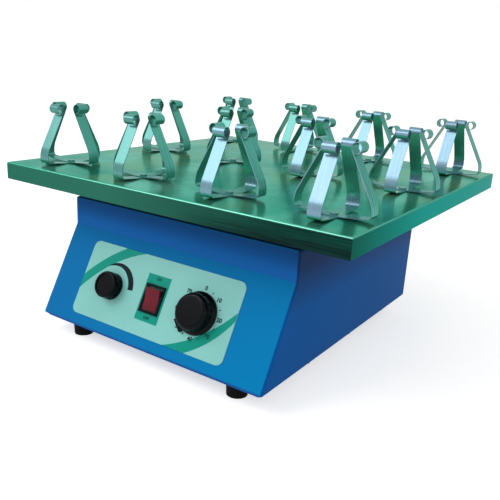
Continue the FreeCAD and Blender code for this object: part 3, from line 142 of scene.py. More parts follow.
class ShakerZones(bpy.types.PropertyGroup):
    """Where painted light, shade and reflections change a finish's tone: the places where the change starts
    and ends.
    """

    glow: span("Panel glow", "From the panel's upper left to its lit lower right", -0.2, 0.1)
    deep: span("Deep sides", "Up the upright sides, which darken under the deck", 0.09, 0.137)
    brow: span("Deep brow", "Up the strip above the panel, which darkens under the deck", 0.13, 0.148)
    front_lip: span("Front lip", "Along the front lip, which darkens to the right", -0.06, 0.16)
    lip_foot_shade: span("Lip's dark foot", "Along the front lip's foot, which darkens to the right", 0.03, 0.13)
    foot_rise: span("Foot's height", "Up from the lip's lower edge, where its dark foot fades", 0.003, 0.014)
    side_lip_reflection: span("Side lips", "Back along the side lips, which brighten", -0.23, -0.05)
    bend: span("Bends", "Along the front bend, where its bright line begins", -0.16, 0.02)
    clamps: span("Clamps", "Across the deck, where the clamps' front strips turn paler", -0.05, 0.10)


class ShakerPanel(bpy.types.PropertyGroup):
    """The sizes of what is printed on the control plate."""

    rise: length("Panel rise", "Height of the sloping panel", 0.101)
    reach: length("Panel reach", "How far the panel's foot comes forward", 0.054)
    sheet: length("Plate thickness", "Thickness of the control plate", 0.001)
    ink: length("Ink", "Thickness of the printing", 0.00008)
    patch_width: length("Switch patch width", "Width of the green patch behind the switch", 0.032)
    patch_height: length("Switch patch height", "Height of that patch", 0.052)
    mark_height: length("Switch mark height", "Height of the words on that patch", 0.0034)
    mark_inset: length("Switch mark inset", "From the patch's edge to the middle of those words", 0.0042)
    sweep_outer: length("Speed mark radius", "Outer radius of the mark beside the speed knob", 0.0278)
    sweep_shift: length("Speed mark shift", "How far that mark stands to the right of its knob", 0.0025)
    sweep_thin: length("Speed mark start", "Width of that mark at its thin end", 0.001)
    sweep_thick: length("Speed mark end", "Width of that mark at its thick end", 0.0074)
    sweep_start: angle("Speed mark from", "Where that mark starts, clockwise from the top", -38)
    sweep_end: angle("Speed mark to", "Where that mark ends, clockwise from the top", 85)
    dial_ring: length("Dial ring", "Radius of the circle of numerals round the timer", 0.0272)
    dial_step: angle("Dial step", "From one numeral to the next", 45)
    numeral: length("Numeral height", "Height of the numerals", 0.0045)
    tick: length("Tick length", "Length of the ticks between the numerals", 0.0018)
    tick_width: length("Tick width", "Width of those ticks", 0.0010)
    tick_inset: length("Tick inset", "How far inside the circle of numerals the ticks stand", 0.001)
    upper_side: span("Upper band's side", "Up the left side, where the upper band meets it", -0.015, 0.0015)
    upper_edge: span("Upper band's edge", "Along the upper edge, where that band meets it", -0.058, -0.029)
    upper_bows: span("Upper band's bows", "How far its two long sides bow", 0.0028, -0.0075)
    lower_side: span("Lower band's side", "Up the right side, where the lower band meets it", 0.0125, 0.0035)
    lower_edge: span("Lower band's edge", "Along the lower edge, where that band meets it", 0.060, 0.0305)
    lower_bows: span("Lower band's bows", "How far its two long sides bow", 0.0045, -0.0068)


class ShakerStudio(bpy.types.PropertyGroup):
    """The camera, the lamps and the floor."""

    eye: point("Camera place", "Where the camera stands", (0.4261, -0.6790, 0.3264))
    azimuth: angle("Azimuth", "How far round to the right the camera stands", 33.19)
    elevation: angle("Elevation", "How steeply the camera looks down", 17.10)
    roll: angle("Roll", "How far the camera is tipped to its side", 3.43)
    lens: bpy.props.FloatProperty(
        name="Lens", description="Focal length", unit="CAMERA", default=45.46)
    floor: length("Floor", "Half the width of the floor", 6.0)
    sky: bpy.props.FloatProperty(
        name="Sky", description="Strength of the light from all round", default=0.6)
    key: bpy.props.FloatProperty(
        name="Key lamp", description="Power of the large lamp on the left", unit="POWER", default=26)
    key_place: point("Key lamp place", "Where that lamp stands", (-1.3, -1.5, 1.9))
    key_side: length("Key lamp side", "Width of that lamp", 1.6)
    fill: bpy.props.FloatProperty(
        name="Fill lamp", description="Power of the small lamp on the right", unit="POWER", default=2)
    fill_place: point("Fill lamp place", "Where that lamp stands", (1.5, -1.2, 1.0))
    fill_side: length("Fill lamp side", "Width of that lamp", 0.25)
    aim: point("Lamps' aim", "Where both lamps point", (0, 0, 0.12))
    floor_glow: bpy.props.FloatProperty(
        name="Floor glow", description="Light that the floor adds where it is seen plainly", default=0.62)


def colours():
    return bpy.context.scene.shaker_colours


def zones():
    return bpy.context.scene.shaker_zones


def panel():
    return bpy.context.scene.shaker_panel


def studio():
    return bpy.context.scene.shaker_studio


# ---------------------------------------------------------------- finishes

class Finish:
    """A finish being mixed: one Principled surface and the textures that feed it."""

    def __init__(self, name, colour, roughness, metallic=0.0):
        self.material = bpy.data.materials.new(name)
        self.material.use_nodes = True
        self.tree = self.material.node_tree
        self.surface = self.tree.nodes["Principled BSDF"]
        self.give(self.surface, {"Base Color": (*colour, 1), "Roughness": roughness, "Metallic": metallic})
        self.points = self.tree.nodes.new("ShaderNodeTexCoord")

    def give(self, node, values):
        for name, value in values.items():
            if isinstance(value, bpy.types.NodeSocket):
                self.tree.links.new(value, node.inputs[name])
            else:
                node.inputs[name].default_value = value

    def add(self, kind, values, **settings):
        node = self.tree.nodes.new(f"ShaderNode{kind}")
        for name, value in settings.items():
            setattr(node, name, value)
        self.give(node, values)
        return node

    def grain(self, scale, detail, stretch=(1, 1, 1)):
        """Noise that is as many times finer along each axis as stretch says."""
        spread = self.add("Mapping", {"Vector": self.points.outputs["Object"], "Scale": stretch})
        noise = self.add("TexNoise", {"Vector": spread.outputs["Vector"], "Scale": scale, "Detail": detail})
        return noise.outputs["Fac"]

    def between(self, value, low, high, start=0.3, end=0.7):
        """A number that goes from low to high while value goes from start to end."""
        scaled = self.add("MapRange", {"Value": value, "From Min": start, "From Max": end,
                                       "To Min": low, "To Max": high})
        return scaled.outputs["Result"]

    def shades(self, value, stops):
        """Colours along a ramp; each stop is a place from 0 to 1 and a colour."""
        ramp = self.add("ValToRGB", {"Fac": value})
        elements = ramp.color_ramp.elements
        while len(elements) < len(stops):
            elements.new(0.5)
        for element, (spot, colour) in zip(elements, stops):
            element.position, element.color = spot, (*colour[:3], 1)
        return ramp.outputs["Color"]

    def mix(self, share, first, second):
        """The first colour where share is 0 and the second where it is 1."""
        node = self.add("Mix", {"Factor": share}, data_type="RGBA")
        for socket, value in ((node.inputs[6], first), (node.inputs[7], second)):
            if isinstance(value, bpy.types.NodeSocket):
                self.tree.links.new(value, socket)
            else:
                socket.default_value = (*value[:3], 1)
        return node.outputs[2]

    def facing(self, *way):
        """How squarely the surface faces a direction, from 1 full on to -1 turned away."""
        share = self.add("VectorMath", {0: self.points.outputs["Normal"], 1: way}, operation="DOT_PRODUCT")
        return share.outputs["Value"]

    def along(self, *way):
        """How far a point of the surface lies in a direction."""
        reach = self.add("VectorMath", {0: self.points.outputs["Object"], 1: way}, operation="DOT_PRODUCT")
        return reach.outputs["Value"]

    def calc(self, operation, first, second=0.0):
        return self.add("Math", {0: first, 1: second}, operation=operation).outputs["Value"]

    def relief(self, height, depth, strength):
        bump = self.add("Bump", {"Height": height, "Distance": depth, "Strength": strength})
        self.give(self.surface, {"Normal": bump.outputs["Normal"]})

    def done(self, **sockets):
        self.give(self.surface, {name.replace("_", " "): value for name, value in sockets.items()})
        return self.material


def tone(colour, factor):
    return tuple(min(1.0, channel * factor) for channel in colour[:3])


def powder_coat(name, colour):
    """Baked powder paint: an even colour under a fine orange peel."""
    paint = Finish(name, colour, 0.4)
    drift = paint.grain(9, 3)
    speck = paint.grain(620, 2)
    body = paint.shades(drift, [(0.25, tone(colour, 0.93)), (0.75, tone(colour, 1.07))])
    paint.relief(speck, 0.00012, 0.35)
    return paint.done(Base_Color=body, Roughness=paint.between(speck, 0.36, 0.46), Specular_IOR_Level=0.2)


def cabinet_paint(name):
    """Blue powder paint with painted light and shade: brighter over the sloping panel and its lower right,
    deeper on the upright faces and darkest high up under the deck.
    """
    tints, zone = colours(), zones()
    paint = Finish(name, tints.panel_paint_lit, 0.4)
    drift = paint.grain(7, 3)
    speck = paint.grain(620, 2)
    height = paint.along(0, 0, 1)
    # Painted light: the panel brightens towards its lower right
    glow = paint.calc("SUBTRACT", paint.along(0.9, 0, -1.0), paint.calc("MULTIPLY", drift, 0.08))
    slope = paint.mix(paint.between(glow, 0, 1, *zone.glow), tints.panel_paint_lit, tints.panel_painted_light)
    sides = paint.shades(drift, [(0.25, tone(tints.body_paint_shaded, 0.94)), (0.75, tone(tints.body_paint_shaded, 1.06))])
    # Painted shadow of the deck: the sides and the brow darken high up under it
    sides = paint.mix(paint.between(height, 0, 0.9, *zone.deep), sides, tints.painted_deck_shadow)
    brow = paint.mix(paint.between(height, 0, 0.45, *zone.brow), tints.brow_paint_lit, tints.painted_deck_shadow)
    # Painted light and shade: the way a face looks picks its copy of the one paint, lit on the panel and the
    # brow, shaded on the sides
    upright = paint.mix(paint.between(paint.facing(0, -1, 0), 0, 1, 0.95, 0.99), sides, brow)
    body = paint.mix(paint.between(paint.facing(*PANEL_WAY), 0, 1, 0.93, 0.995), upright, slope)
    paint.relief(speck, 0.00012, 0.35)
    return paint.done(Base_Color=body, Roughness=paint.between(speck, 0.4, 0.5),
                      Specular_IOR_Level=0.03, Specular_Tint=(0.35, 0.6, 1, 1))


def deck_steel(name):
    """Brushed stainless sheet with painted reflections: soft cloudy patches, a painted highlight along the
    bends and darker lips.
    """
    tints, zone = colours(), zones()
    steel = Finish(name, tints.deck, 0.2, 0.75)
    brush = steel.grain(26, 6, (1, 34, 34))
    scratched = steel.between(brush, 0, 0.3)
    lips = steel.mix(scratched, deck_lips(steel, tints, zone), tone(tints.deck_dark_reflection_and_scratch, 0.4))
    # Painted reflections on the top, darkened along the brush scratches
    patches = steel.mix(scratched, deck_reflection_patches(steel, tints), tone(tints.deck_dark_reflection_and_scratch, 0.7))
    up = steel.facing(0, 0, 1)
    # Painted highlight along the bends, brighter towards the right
    bend = steel.mix(steel.between(steel.along(1, 0, 0), 0, 1, *zone.bend), tints.deck, tints.deck_bend_highlight)
    body = steel.mix(steel.between(up, 0, 1, 0.1, 0.4), lips, bend)
    body = steel.mix(steel.between(up, 0, 1, 0.85, 0.985), body, patches)
    steel.relief(brush, 0.00003, 0.25)
    return steel.done(Base_Color=body, Roughness=steel.between(brush, 0.14, 0.25),
                      Specular_IOR_Level=0.03, Specular_Tint=(0.3, 0.62, 0.56, 1))


def deck_reflection_patches(steel, tints):
    """Painted reflections on the deck's cloudy top, warmer in patches towards its rear left."""
    cloud = steel.grain(11, 4, (1, 0.6, 1))
    warm = steel.grain(13, 3, (1.2, 0.7, 1))
    patches = steel.shades(cloud, [(0.36, tints.deck_dark_reflection_and_scratch), (0.5, tints.deck), (0.64, tints.deck_pale_reflection)])
    rear = steel.calc("ADD", warm, steel.calc("MULTIPLY", steel.along(-0.5, 1, 0), 0.3))
    return steel.mix(steel.between(rear, 0, 0.85, 0.45, 0.62), patches, tints.deck_warm_reflection)


def deck_lips(steel, tints, zone):
    """Painted reflections and shade on the lips: the front lip dark at its right end and foot, and the
    brighter side and rear lips.
    """
    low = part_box("platform_tray")[0].z
    rightwards = steel.along(1, 0, 0)
    # Painted reflection: the front lip darkens to the right
    front = steel.mix(steel.between(rightwards, 0, 1, *zone.front_lip), tints.lip_pale_reflection, tints.lip_dark_reflection)
    # Painted shade at the front lip's foot, darker to the right
    foot = steel.calc("MULTIPLY", steel.between(rightwards, 0, 1, *zone.lip_foot_shade),
                      steel.between(steel.along(0, 0, 1), 1, 0, *(low + rise for rise in zone.foot_rise)))
    front = steel.mix(foot, front, tints.lip_foot_shade)
    # Painted reflection: the side lips brighten towards the back
    backwards = steel.between(steel.along(0, 1, 0), 0, 1, *zone.side_lip_reflection)
    side = steel.mix(backwards, tints.side_lip_dark_reflection, tints.side_lip_reflection)
    return steel.mix(steel.between(steel.facing(0, -1, 0), 0, 1, 0.5, 0.9), side, front)


def spring_steel(name):
    """Rolled spring strip with painted light and shade: palest where it faces forward and up and deep in
    tone inside.
    """
    tints = colours()
    strip = Finish(name, tints.strip, 0.22, 0.6)
    cloud = strip.grain(16, 2)
    sideways = strip.between(strip.calc("ABSOLUTE", strip.facing(1, 0, 0)), 0, 1, 0.3, 0.5)
    brush = strip.mix(sideways, strip.grain(60, 4, (16, 0.6, 0.6)), strip.grain(60, 4, (0.6, 16, 0.6)))
    body = strip.shades(cloud, [(0.35, tone(tints.strip, 0.88)), (0.65, tone(tints.strip, 1.12))])
    # Painted light: the forward faces paler, more so on the clamps to the right
    rightwards = strip.between(strip.along(1, 0, 0), 0, 1, *zones().clamps)
    pale = strip.mix(rightwards, tints.strip_left_lit, tints.strip_pale_lit)
    forward = strip.facing(-0.2, -0.9, 0.38)
    body = strip.mix(strip.between(forward, 0, 1, 0.45, 0.85), body, pale)
    # Painted shade on the downward faces
    body = strip.mix(strip.between(strip.facing(0, 0, -1), 0, 1, 0.1, 0.36), body, tints.strip_dark_shade)
    strip.relief(brush, 0.00002, 0.15)
    return strip.done(Base_Color=body, Roughness=strip.between(brush, 0.18, 0.3),
                      Specular_IOR_Level=0.05, Specular_Tint=(0.6, 0.75, 0.75, 1))


def plain_metal(name, colour, roughness, scale=240, stretch=(1, 1, 1)):
    """Machined, cast or plated metal: its grain shows in colour, gloss and relief."""
    metal = Finish(name, colour, roughness, 1.0)
    grain = metal.grain(scale, 4, stretch)
    body = metal.shades(grain, [(0.3, tone(colour, 0.82)), (0.7, tone(colour, 1.1))])
    metal.relief(grain, 0.00006, 0.3)
    return metal.done(Base_Color=body, Roughness=metal.between(grain, roughness * 0.8, roughness * 1.25))


def moulding(name, colour, roughness, scale=900, shine=0.08):
    """Moulded plastic or rubber with a fine spark texture."""
    plastic = Finish(name, colour, roughness)
    spark = plastic.grain(scale, 2)
    drift = plastic.grain(40, 2)
    body = plastic.shades(drift, [(0.3, tone(colour, 0.85)), (0.7, tone(colour, 1.2))])
    plastic.relief(spark, 0.00005, 0.3)
    return plastic.done(Base_Color=body, Specular_IOR_Level=shine,
                        Roughness=plastic.between(spark, roughness * 0.85, roughness * 1.2))


def label_sheet(name, colour, rim_highlight):
    """Satin printed sheet with a paler cut edge, a painted highlight."""
    sheet = Finish(name, colour, 0.35)
    drift = sheet.grain(16, 3)
    weave = sheet.grain(1500, 1)
    body = sheet.shades(drift, [(0.3, tone(colour, 0.94)), (0.7, tone(colour, 1.05))])
    # Painted highlight on the faces that turn away from the plate's front
    body = sheet.mix(sheet.between(sheet.facing(*PANEL_WAY), 1, 0, 0.4, 0.9), body, rim_highlight)
    sheet.relief(weave, 0.00002, 0.25)
    return sheet.done(Base_Color=body, Roughness=sheet.between(weave, 0.3, 0.42), Specular_IOR_Level=0.2)


def ink(name, colour):
    """Screen-printed ink, a little uneven in depth."""
    film = Finish(name, colour, 0.4)
    grain = film.grain(1100, 2)
    body = film.shades(grain, [(0.25, tone(colour, 0.85)), (0.75, tone(colour, 1.12))])
    return film.done(Base_Color=body, Roughness=film.between(grain, 0.34, 0.48), Specular_IOR_Level=0.12)


def coat(finish, *names):
    """Give CAD pieces a finish through their material slots."""
    for name in names:
        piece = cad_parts[name]
        if not piece.material_slots:
            raise RuntimeError(f"{name} has no material slot to paint")
        for slot in piece.material_slots:
            slot.material = finish


# ---------------------------------------------------------------- piece making

def plate_frame():
    """The control plate's outer face, as a frame with X along it, Y up the slope and Z outwards.

    Half the plate's height and half its width come with it.
    """
    sizes = panel()
    low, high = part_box("control_plate")
    lean = math.atan2(sizes.reach, sizes.rise)
    slope = Vector((0, math.sin(lean), math.cos(lean)))
    out = Vector((0, -math.cos(lean), math.sin(lean)))
    middle = (low.x + high.x) / 2
    top = Vector((middle, high.y - sizes.sheet * math.cos(lean), high.z))
    foot = Vector((middle, low.y, low.z + sizes.sheet * math.sin(lean)))
    turned = Matrix((ALONG, slope, out)).transposed().to_4x4()
    return Matrix.Translation((top + foot) / 2) @ turned, (top - foot).length / 2, (high.x - low.x) / 2


def spot_on_plate(node):
    """Where a control's axis meets the plate, in the plate's own frame."""
    low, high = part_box(node)
    spot = plate_frame()[0].inverted() @ ((low + high) / 2)
    return Vector((spot.x, spot.y))


def piece_from(name, mesh, finish, body):
    """A new piece that rides on a body and takes the finish it is given."""
    piece = bpy.data.objects.new(name, mesh)
    bpy.context.scene.collection.objects.link(piece)
    mesh.materials.clear()
    mesh.materials.append(finish)
    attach(piece, body)


def meshed(data, name):
    """The mesh of a curve or text, without leaving the curve behind."""
    helper = bpy.data.objects.new(name, data)
    bpy.context.scene.collection.objects.link(helper)
    bpy.context.view_layer.update()
    mesh = bpy.data.meshes.new_from_object(helper.evaluated_get(bpy.context.evaluated_depsgraph_get()))
    bpy.data.objects.remove(helper)
    return mesh


def outline_mesh(name, corners, thickness):
    """A flat shape with z from 0; each corner says how far the side after it bows to the left."""
    curve = bpy.data.curves.new(name, "CURVE")
    curve.dimensions, curve.fill_mode, curve.extrude = "2D", "BOTH", thickness / 2
    curve.resolution_u = 10
    spline = curve.splines.new("BEZIER")
    spline.bezier_points.add(len(corners) - 1)
    spline.use_cyclic_u = True
    spots = [Vector((across, up, 0)) for across, up, bow in corners]
    bows = [bow for across, up, bow in corners]
    for index, (spot, bow) in enumerate(zip(spots, bows)):
        follower = (index + 1) % len(spots)
        run = spots[follower] - spot
        left = Vector((-run.y, run.x, 0)).normalized() * bow * 4 / 3
        here, there = spline.bezier_points[index], spline.bezier_points[follower]
        here.co = spot
        here.handle_right_type = there.handle_left_type = "FREE"
        here.handle_right = spot + run / 3 + left
        there.handle_left = spots[follower] - run / 3 + left
    mesh = meshed(curve, name)
    mesh.transform(Matrix.Translation((0, 0, thickness / 2)))
    return mesh


def text_mesh(name, words, height, thickness, spot):
    """Words centred on a spot; z starts at 0."""
    text = bpy.data.curves.new(name, "FONT")
    text.body, text.size, text.extrude = words, height / CAPITAL, thickness / 2
    text.align_x, text.align_y = "CENTER", "CENTER"
    text.offset = height * TYPE_WEIGHT
    mesh = meshed(text, name)
    mesh.transform(Matrix.Translation((*spot, thickness / 2)))
    return mesh


def gathered(meshes, name):
    """Several meshes as one, with doubled corners merged and every face pointing outwards."""
    shape = bmesh.new()
    for mesh in meshes:
        shape.from_mesh(mesh)
        bpy.data.meshes.remove(mesh)
    bmesh.ops.remove_doubles(shape, verts=shape.verts, dist=MERGE)
    bmesh.ops.recalc_face_normals(shape, faces=shape.faces)
    for face in shape.faces:
        face.smooth = False
    mesh = bpy.data.meshes.new(name)
    shape.to_mesh(mesh)
    shape.free()
    return mesh


def around(turn, radius, centre):
    """A point on a circle, by its turn clockwise from the top."""
    return centre + radius * Vector((math.sin(turn), math.cos(turn)))


# ---------------------------------------------------------------- operators

class PaintCabinet(bpy.types.Operator):
    """Paint the cabinet and finish its feet, screws and rear fittings"""

    bl_idname = "shaker.paint_cabinet"
    bl_label = "Cabinet"

    def execute(self, context):
        tints = colours()
        coat(cabinet_paint("cabinet_paint"), "cabinet_shell", "base_plate")
        coat(plain_metal("base_zinc", tints.zinc, 0.38, 90), "base_screws", "foot_screws")
        coat(moulding("foot_rubber", tints.rubber, 0.7, 500), "rubber_feet")
        coat(moulding("rear_fittings", tints.bezel, 0.4), "cord_gland", "fuse_holder")
        return {"FINISHED"}


class FinishDeck(bpy.types.Operator):
    """Finish the deck and the parts that carry it"""

    bl_idname = "shaker.finish_deck"
    bl_label = "Deck"

    def execute(self, context):
        tints = colours()
        coat(deck_steel("deck_steel"), "platform_tray")
        coat(powder_coat("carrier_enamel", tints.enamel), "platform_carrier", "idler_cups")
        coat(plain_metal("hub_alloy", tints.alloy, 0.42), "platform_hub")
        coat(plain_metal("nut_zinc", tints.zinc, 0.35), "clamp_nuts")
        return {"FINISHED"}


class FinishClamps(bpy.types.Operator):
    """Finish the twelve spring clamps"""

    bl_idname = "shaker.finish_clamps"
    bl_label = "Spring clamps"

    def execute(self, context):
        strips = [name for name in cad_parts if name.startswith("clamp_") and name[-1].isdigit()]
        coat(spring_steel("spring_strip"), "clamp_screws", *strips)
        return {"FINISHED"}


class FinishDrive(bpy.types.Operator):
    """Finish the crank, idlers, belt, motor and electrical parts"""

    bl_idname = "shaker.finish_drive"
    bl_label = "Drive"

    def execute(self, context):
        tints = colours()
        turned = plain_metal("turned_steel", tints.steel, 0.24, 160, (1, 1, 5))
        coat(turned, "spindle_shaft", "spindle_bearings", "platform_bearing", "idler_bearings",
             "deck_idler_bearings", "motor_shaft", "speed_shaft", "timer_shaft", "drive_screws")
        cranks = [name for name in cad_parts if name.startswith("idler_crank_")]
        coat(plain_metal("cast_alloy", tints.alloy, 0.42), "spindle_housing", "idler_housings",
             "drive_pulley", "motor_pulley", "motor_cap", "crank_head", *cranks)
        coat(powder_coat("drive_enamel", tints.enamel), "drive_plate", "motor_can")
        coat(plain_metal("counterweight_iron", tints.iron, 0.5, 120), "counterweight", "motor_magnets",
             "motor_armature", "transformer")
        coat(moulding("belt_rubber", tints.rubber, 0.65, 300), "drive_belt")
        coat(moulding("board_laminate", tints.laminate, 0.35, 400), "control_board")
        coat(moulding("control_cases", tints.bezel, 0.45), "timer_case", "potentiometer", "board_standoffs")
        return {"FINISHED"}


class FinishControls(bpy.types.Operator):
    """Finish the knobs and the power switch"""

    bl_idname = "shaker.finish_controls"
    bl_label = "Knobs and switch"

    def execute(self, context):
        tints = colours()
        coat(moulding("knob_plastic", tints.knob, 0.22, 900, 0.09), "speed_knob", "timer_knob")
        coat(moulding("switch_frame", tints.bezel, 0.35), "rocker_housing")
        coat(moulding("rocker_red", tints.rocker, 0.28), "rocker_button")
        return {"FINISHED"}


class PrintPlate(bpy.types.Operator):
    """Colour the control plate and print its bands, switch patch, speed mark and timer dial"""

    bl_idname = "shaker.print_plate"
    bl_label = "Control plate printing"

    def execute(self, context):
        tints, sizes = colours(), panel()
        place, edge, side = plate_frame()
        coat(label_sheet("plate_mint", tints.plate, tints.plate_rim_highlight), "control_plate")
        green, dark = ink("green_ink", tints.green_ink), ink("dark_ink", tints.dark_ink)
        dial = ink("dial_ink", tints.dial_ink)

        upper = self.band(-side, sizes.upper_side, edge, sizes.upper_edge, sizes.upper_bows)
        lower = self.band(side, sizes.lower_side, -edge, sizes.lower_edge, sizes.lower_bows)
        self.lay("upper_band", outline_mesh("upper_band", upper, sizes.ink), place, green)
        self.lay("lower_band", outline_mesh("lower_band", lower, sizes.ink), place, green)

        switch = spot_on_plate("rocker_housing")
        patch_x, patch_y = sizes.patch_width / 2, sizes.patch_height / 2
        patch = [(switch.x + across * patch_x, switch.y + up * patch_y, 0.0)
                 for across, up in ((-1, -1), (-1, 1), (1, 1), (1, -1))]
        self.lay("switch_patch", outline_mesh("switch_patch", patch, sizes.ink), place, green)
        self.lay("switch_marks", self.switch_marks(switch, patch_y - sizes.mark_inset), place, dial)

        self.lay("speed_mark", self.speed_mark(), place, dark)
        self.lay("timer_dial", self.timer_dial(), place, dial)
        return {"FINISHED"}

    def lay(self, name, mesh, place, finish):
        mesh.transform(place)
        piece_from(name, mesh, finish, "root")

    def band(self, side, sides, edge, edges, bows):
        """A bowed band across a corner of the plate, from its side to its upper or lower edge."""
        return [(side, sides[0], 0), (side, sides[1], bows[0]),
                (edges[0], edge, 0), (edges[1], edge, bows[1])]

    def switch_marks(self, switch, reach):
        """ON above the switch and OFF below it."""
        sizes = panel()
        marks = [text_mesh("mark", words, sizes.mark_height, sizes.ink * 2, switch + Vector((0, up)))
                 for words, up in (("ON", reach), ("OFF", -reach))]
        return gathered(marks, "switch_marks")

    def speed_mark(self):
        """A mark that swells clockwise from the knob's upper left to its right."""
        sizes = panel()
        centre = spot_on_plate("speed_shaft") + Vector((sizes.sweep_shift, 0))
        swell = (0, 0.5, 0.9, 1)        # how far the mark has swollen at each corner
        step = (sizes.sweep_end - sizes.sweep_start) / (len(swell) - 1)
        angles = [sizes.sweep_start + step * index for index in range(len(swell))]
        outer = [around(turn, sizes.sweep_outer, centre) for turn in angles]
        widths = [sizes.sweep_thin + (sizes.sweep_thick - sizes.sweep_thin) * share for share in swell]
        inner = [around(turn, sizes.sweep_outer - wide, centre) for turn, wide in zip(angles, widths)][::-1]
        rise = 1 - math.cos(step / 2)
        bows = [rise * sizes.sweep_outer] * (len(swell) - 1) + [0]
        bows += [-rise * (sizes.sweep_outer - sizes.sweep_thick)] * (len(swell) - 1) + [0]
        corners = [(spot.x, spot.y, bow) for spot, bow in zip(outer + inner, bows)]
        return outline_mesh("speed_mark", corners, sizes.ink)

    def timer_dial(self):
        """Numerals all round the timer, and a tick half-way between each two."""
        sizes = panel()
        centre = spot_on_plate("timer_shaft")
        steps = round(math.tau / sizes.dial_step)
        spots = [around(sizes.dial_step * step, sizes.dial_ring, centre) for step in range(steps)]
        meshes = [text_mesh("numeral", str(10 * step), sizes.numeral, sizes.ink * 2, spot)
                  for step, spot in enumerate(spots)]
        meshes += [self.tick(sizes.dial_step * (step + 0.5), centre) for step in range(steps - 1)]
        return gathered(meshes, "timer_dial")

    def tick(self, turn, centre):
        """One short stroke that points at the dial's middle."""
        sizes = panel()
        spot = around(turn, sizes.dial_ring - sizes.tick_inset, centre)
        turned = Matrix.Translation((*spot, sizes.ink)) @ Matrix.Rotation(-turn, 4, "Z")
        stretched = Matrix.Diagonal((sizes.tick_width, sizes.tick, sizes.ink * 2, 1))
        shape = bmesh.new()
        bmesh.ops.create_cube(shape, size=1, matrix=turned @ stretched)
        mesh = bpy.data.meshes.new("tick")
        shape.to_mesh(mesh)
        shape.free()
        return mesh


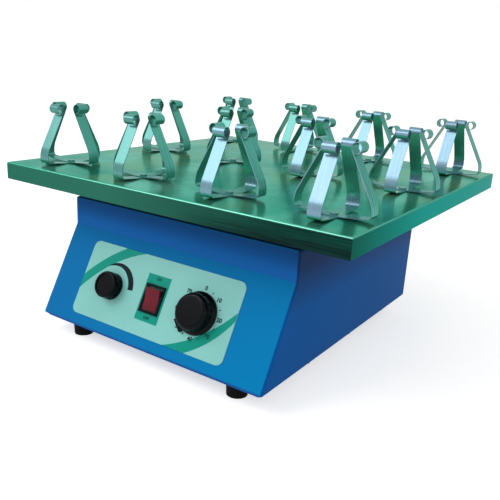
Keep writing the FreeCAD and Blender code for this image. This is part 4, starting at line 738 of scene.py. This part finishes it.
class SetStudio(bpy.types.Operator):
    """Set the camera, the soft lamps and a plain pale floor"""

    bl_idname = "shaker.set_studio"
    bl_label = "Studio"

    def execute(self, context):
        setup = studio()
        scene = context.scene
        scene.view_settings.view_transform = "Standard"
        self.set_camera(setup)
        self.set_world(setup, scene)
        self.set_floor(setup)
        self.set_lamp("key_lamp", setup.key_place, setup.key_side, setup.key, setup.aim)
        self.set_lamp("fill_lamp", setup.fill_place, setup.fill_side, setup.fill, setup.aim)
        return {"FINISHED"}

    def set_camera(self, setup):
        back = Vector((math.sin(setup.azimuth) * math.cos(setup.elevation),
                       -math.cos(setup.azimuth) * math.cos(setup.elevation), math.sin(setup.elevation)))
        right = Vector((math.cos(setup.azimuth), math.sin(setup.azimuth), 0))
        turned = Matrix((right, back.cross(right), back)).transposed().to_4x4()
        data = bpy.data.cameras.new("camera")
        data.sensor_width, data.lens = 36, setup.lens
        data.clip_start, data.clip_end = 0.05, 50
        camera = bpy.data.objects.new("camera", data)
        camera.matrix_world = Matrix.Translation(setup.eye) @ turned @ Matrix.Rotation(setup.roll, 4, "Z")
        bpy.context.scene.collection.objects.link(camera)
        bpy.context.scene.camera = camera

    def set_world(self, setup, scene):
        """Soft grey light all round, seen as plain white directly and in gloss or glass."""
        world = bpy.data.worlds.new("studio")
        world.use_nodes = True
        tree = world.node_tree
        sky = tree.nodes["Background"]
        sky.inputs["Color"].default_value = (1, 1, 1, 1)
        sky.inputs["Strength"].default_value = setup.sky
        white = tree.nodes.new("ShaderNodeBackground")
        white.inputs["Color"].default_value = (1, 1, 1, 1)
        white.inputs["Strength"].default_value = 1
        choice = tree.nodes.new("ShaderNodeMixShader")
        tree.links.new(self.seen_plainly(tree), choice.inputs[0])
        tree.links.new(sky.outputs[0], choice.inputs[1])
        tree.links.new(white.outputs[0], choice.inputs[2])
        tree.links.new(choice.outputs[0], tree.nodes["World Output"].inputs["Surface"])
        scene.world = world

    def seen_plainly(self, tree):
        """1 for rays from the camera, from gloss and through glass, and 0 for the rest."""
        path = tree.nodes.new("ShaderNodeLightPath")
        total = path.outputs["Is Camera Ray"]
        for name in ("Is Glossy Ray", "Is Transmission Ray"):
            larger = tree.nodes.new("ShaderNodeMath")
            larger.operation = "MAXIMUM"
            tree.links.new(total, larger.inputs[0])
            tree.links.new(path.outputs[name], larger.inputs[1])
            total = larger.outputs[0]
        return total

    def set_floor(self, setup):
        shape = bmesh.new()
        bmesh.ops.create_grid(shape, x_segments=1, y_segments=1, size=setup.floor)
        mesh = bpy.data.meshes.new("floor")
        shape.to_mesh(mesh)
        shape.free()
        floor = bpy.data.objects.new("floor", mesh)
        bpy.context.scene.collection.objects.link(floor)
        material = bpy.data.materials.new("pale_floor")
        material.use_nodes = True
        tree = material.node_tree
        paint = tree.nodes["Principled BSDF"]
        paint.inputs["Roughness"].default_value = 0.9
        paint.inputs["Specular IOR Level"].default_value = 0.1
        paint.inputs["Base Color"].default_value = (0.72, 0.72, 0.72, 1)
        paint.inputs["Emission Color"].default_value = (1, 1, 1, 1)
        glow = tree.nodes.new("ShaderNodeMath")
        glow.operation = "MULTIPLY"
        glow.inputs[1].default_value = setup.floor_glow
        tree.links.new(self.seen_plainly(tree), glow.inputs[0])
        tree.links.new(glow.outputs[0], paint.inputs["Emission Strength"])
        mesh.materials.append(material)

    def set_lamp(self, name, spot, side, power, aim):
        data = bpy.data.lights.new(name, "AREA")
        data.shape, data.size, data.energy = "SQUARE", side, power
        lamp = bpy.data.objects.new(name, data)
        turned = (spot - aim).to_track_quat("Z", "Y").to_matrix().to_4x4()
        lamp.matrix_world = Matrix.Translation(spot) @ turned
        bpy.context.scene.collection.objects.link(lamp)


STEPS = (SetStudio, PaintCabinet, FinishDeck, FinishClamps, FinishDrive, FinishControls, PrintPlate)
GROUPS = (("shaker_colours", ShakerColours), ("shaker_zones", ShakerZones),
          ("shaker_panel", ShakerPanel), ("shaker_studio", ShakerStudio))


class ShakerSidebar(bpy.types.Panel):
    """The making steps and their settings"""

    bl_idname = "VIEW3D_PT_shaker"
    bl_label = "Orbital shaker"
    bl_space_type = "VIEW_3D"
    bl_region_type = "UI"
    bl_category = "Shaker"

    def draw(self, context):
        column = self.layout.column(align=True)
        for step in STEPS:
            column.operator(step.bl_idname)
        for name, group in GROUPS:
            box = self.layout.box()
            settings = getattr(context.scene, name)
            for key in group.__annotations__:
                box.prop(settings, key)


def register():
    for name, group in GROUPS:
        bpy.utils.register_class(group)
        setattr(bpy.types.Scene, name, bpy.props.PointerProperty(type=group))
    for step in (*STEPS, ShakerSidebar):
        bpy.utils.register_class(step)


def unregister():
    for step in reversed((*STEPS, ShakerSidebar)):
        bpy.utils.unregister_class(step)
    for name, group in reversed(GROUPS):
        delattr(bpy.types.Scene, name)
        bpy.utils.unregister_class(group)


def main():
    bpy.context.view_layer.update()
    register()
    for step in STEPS:
        area, name = step.bl_idname.split(".")
        getattr(getattr(bpy.ops, area), name)()


if __name__ == "__main__":
    main()
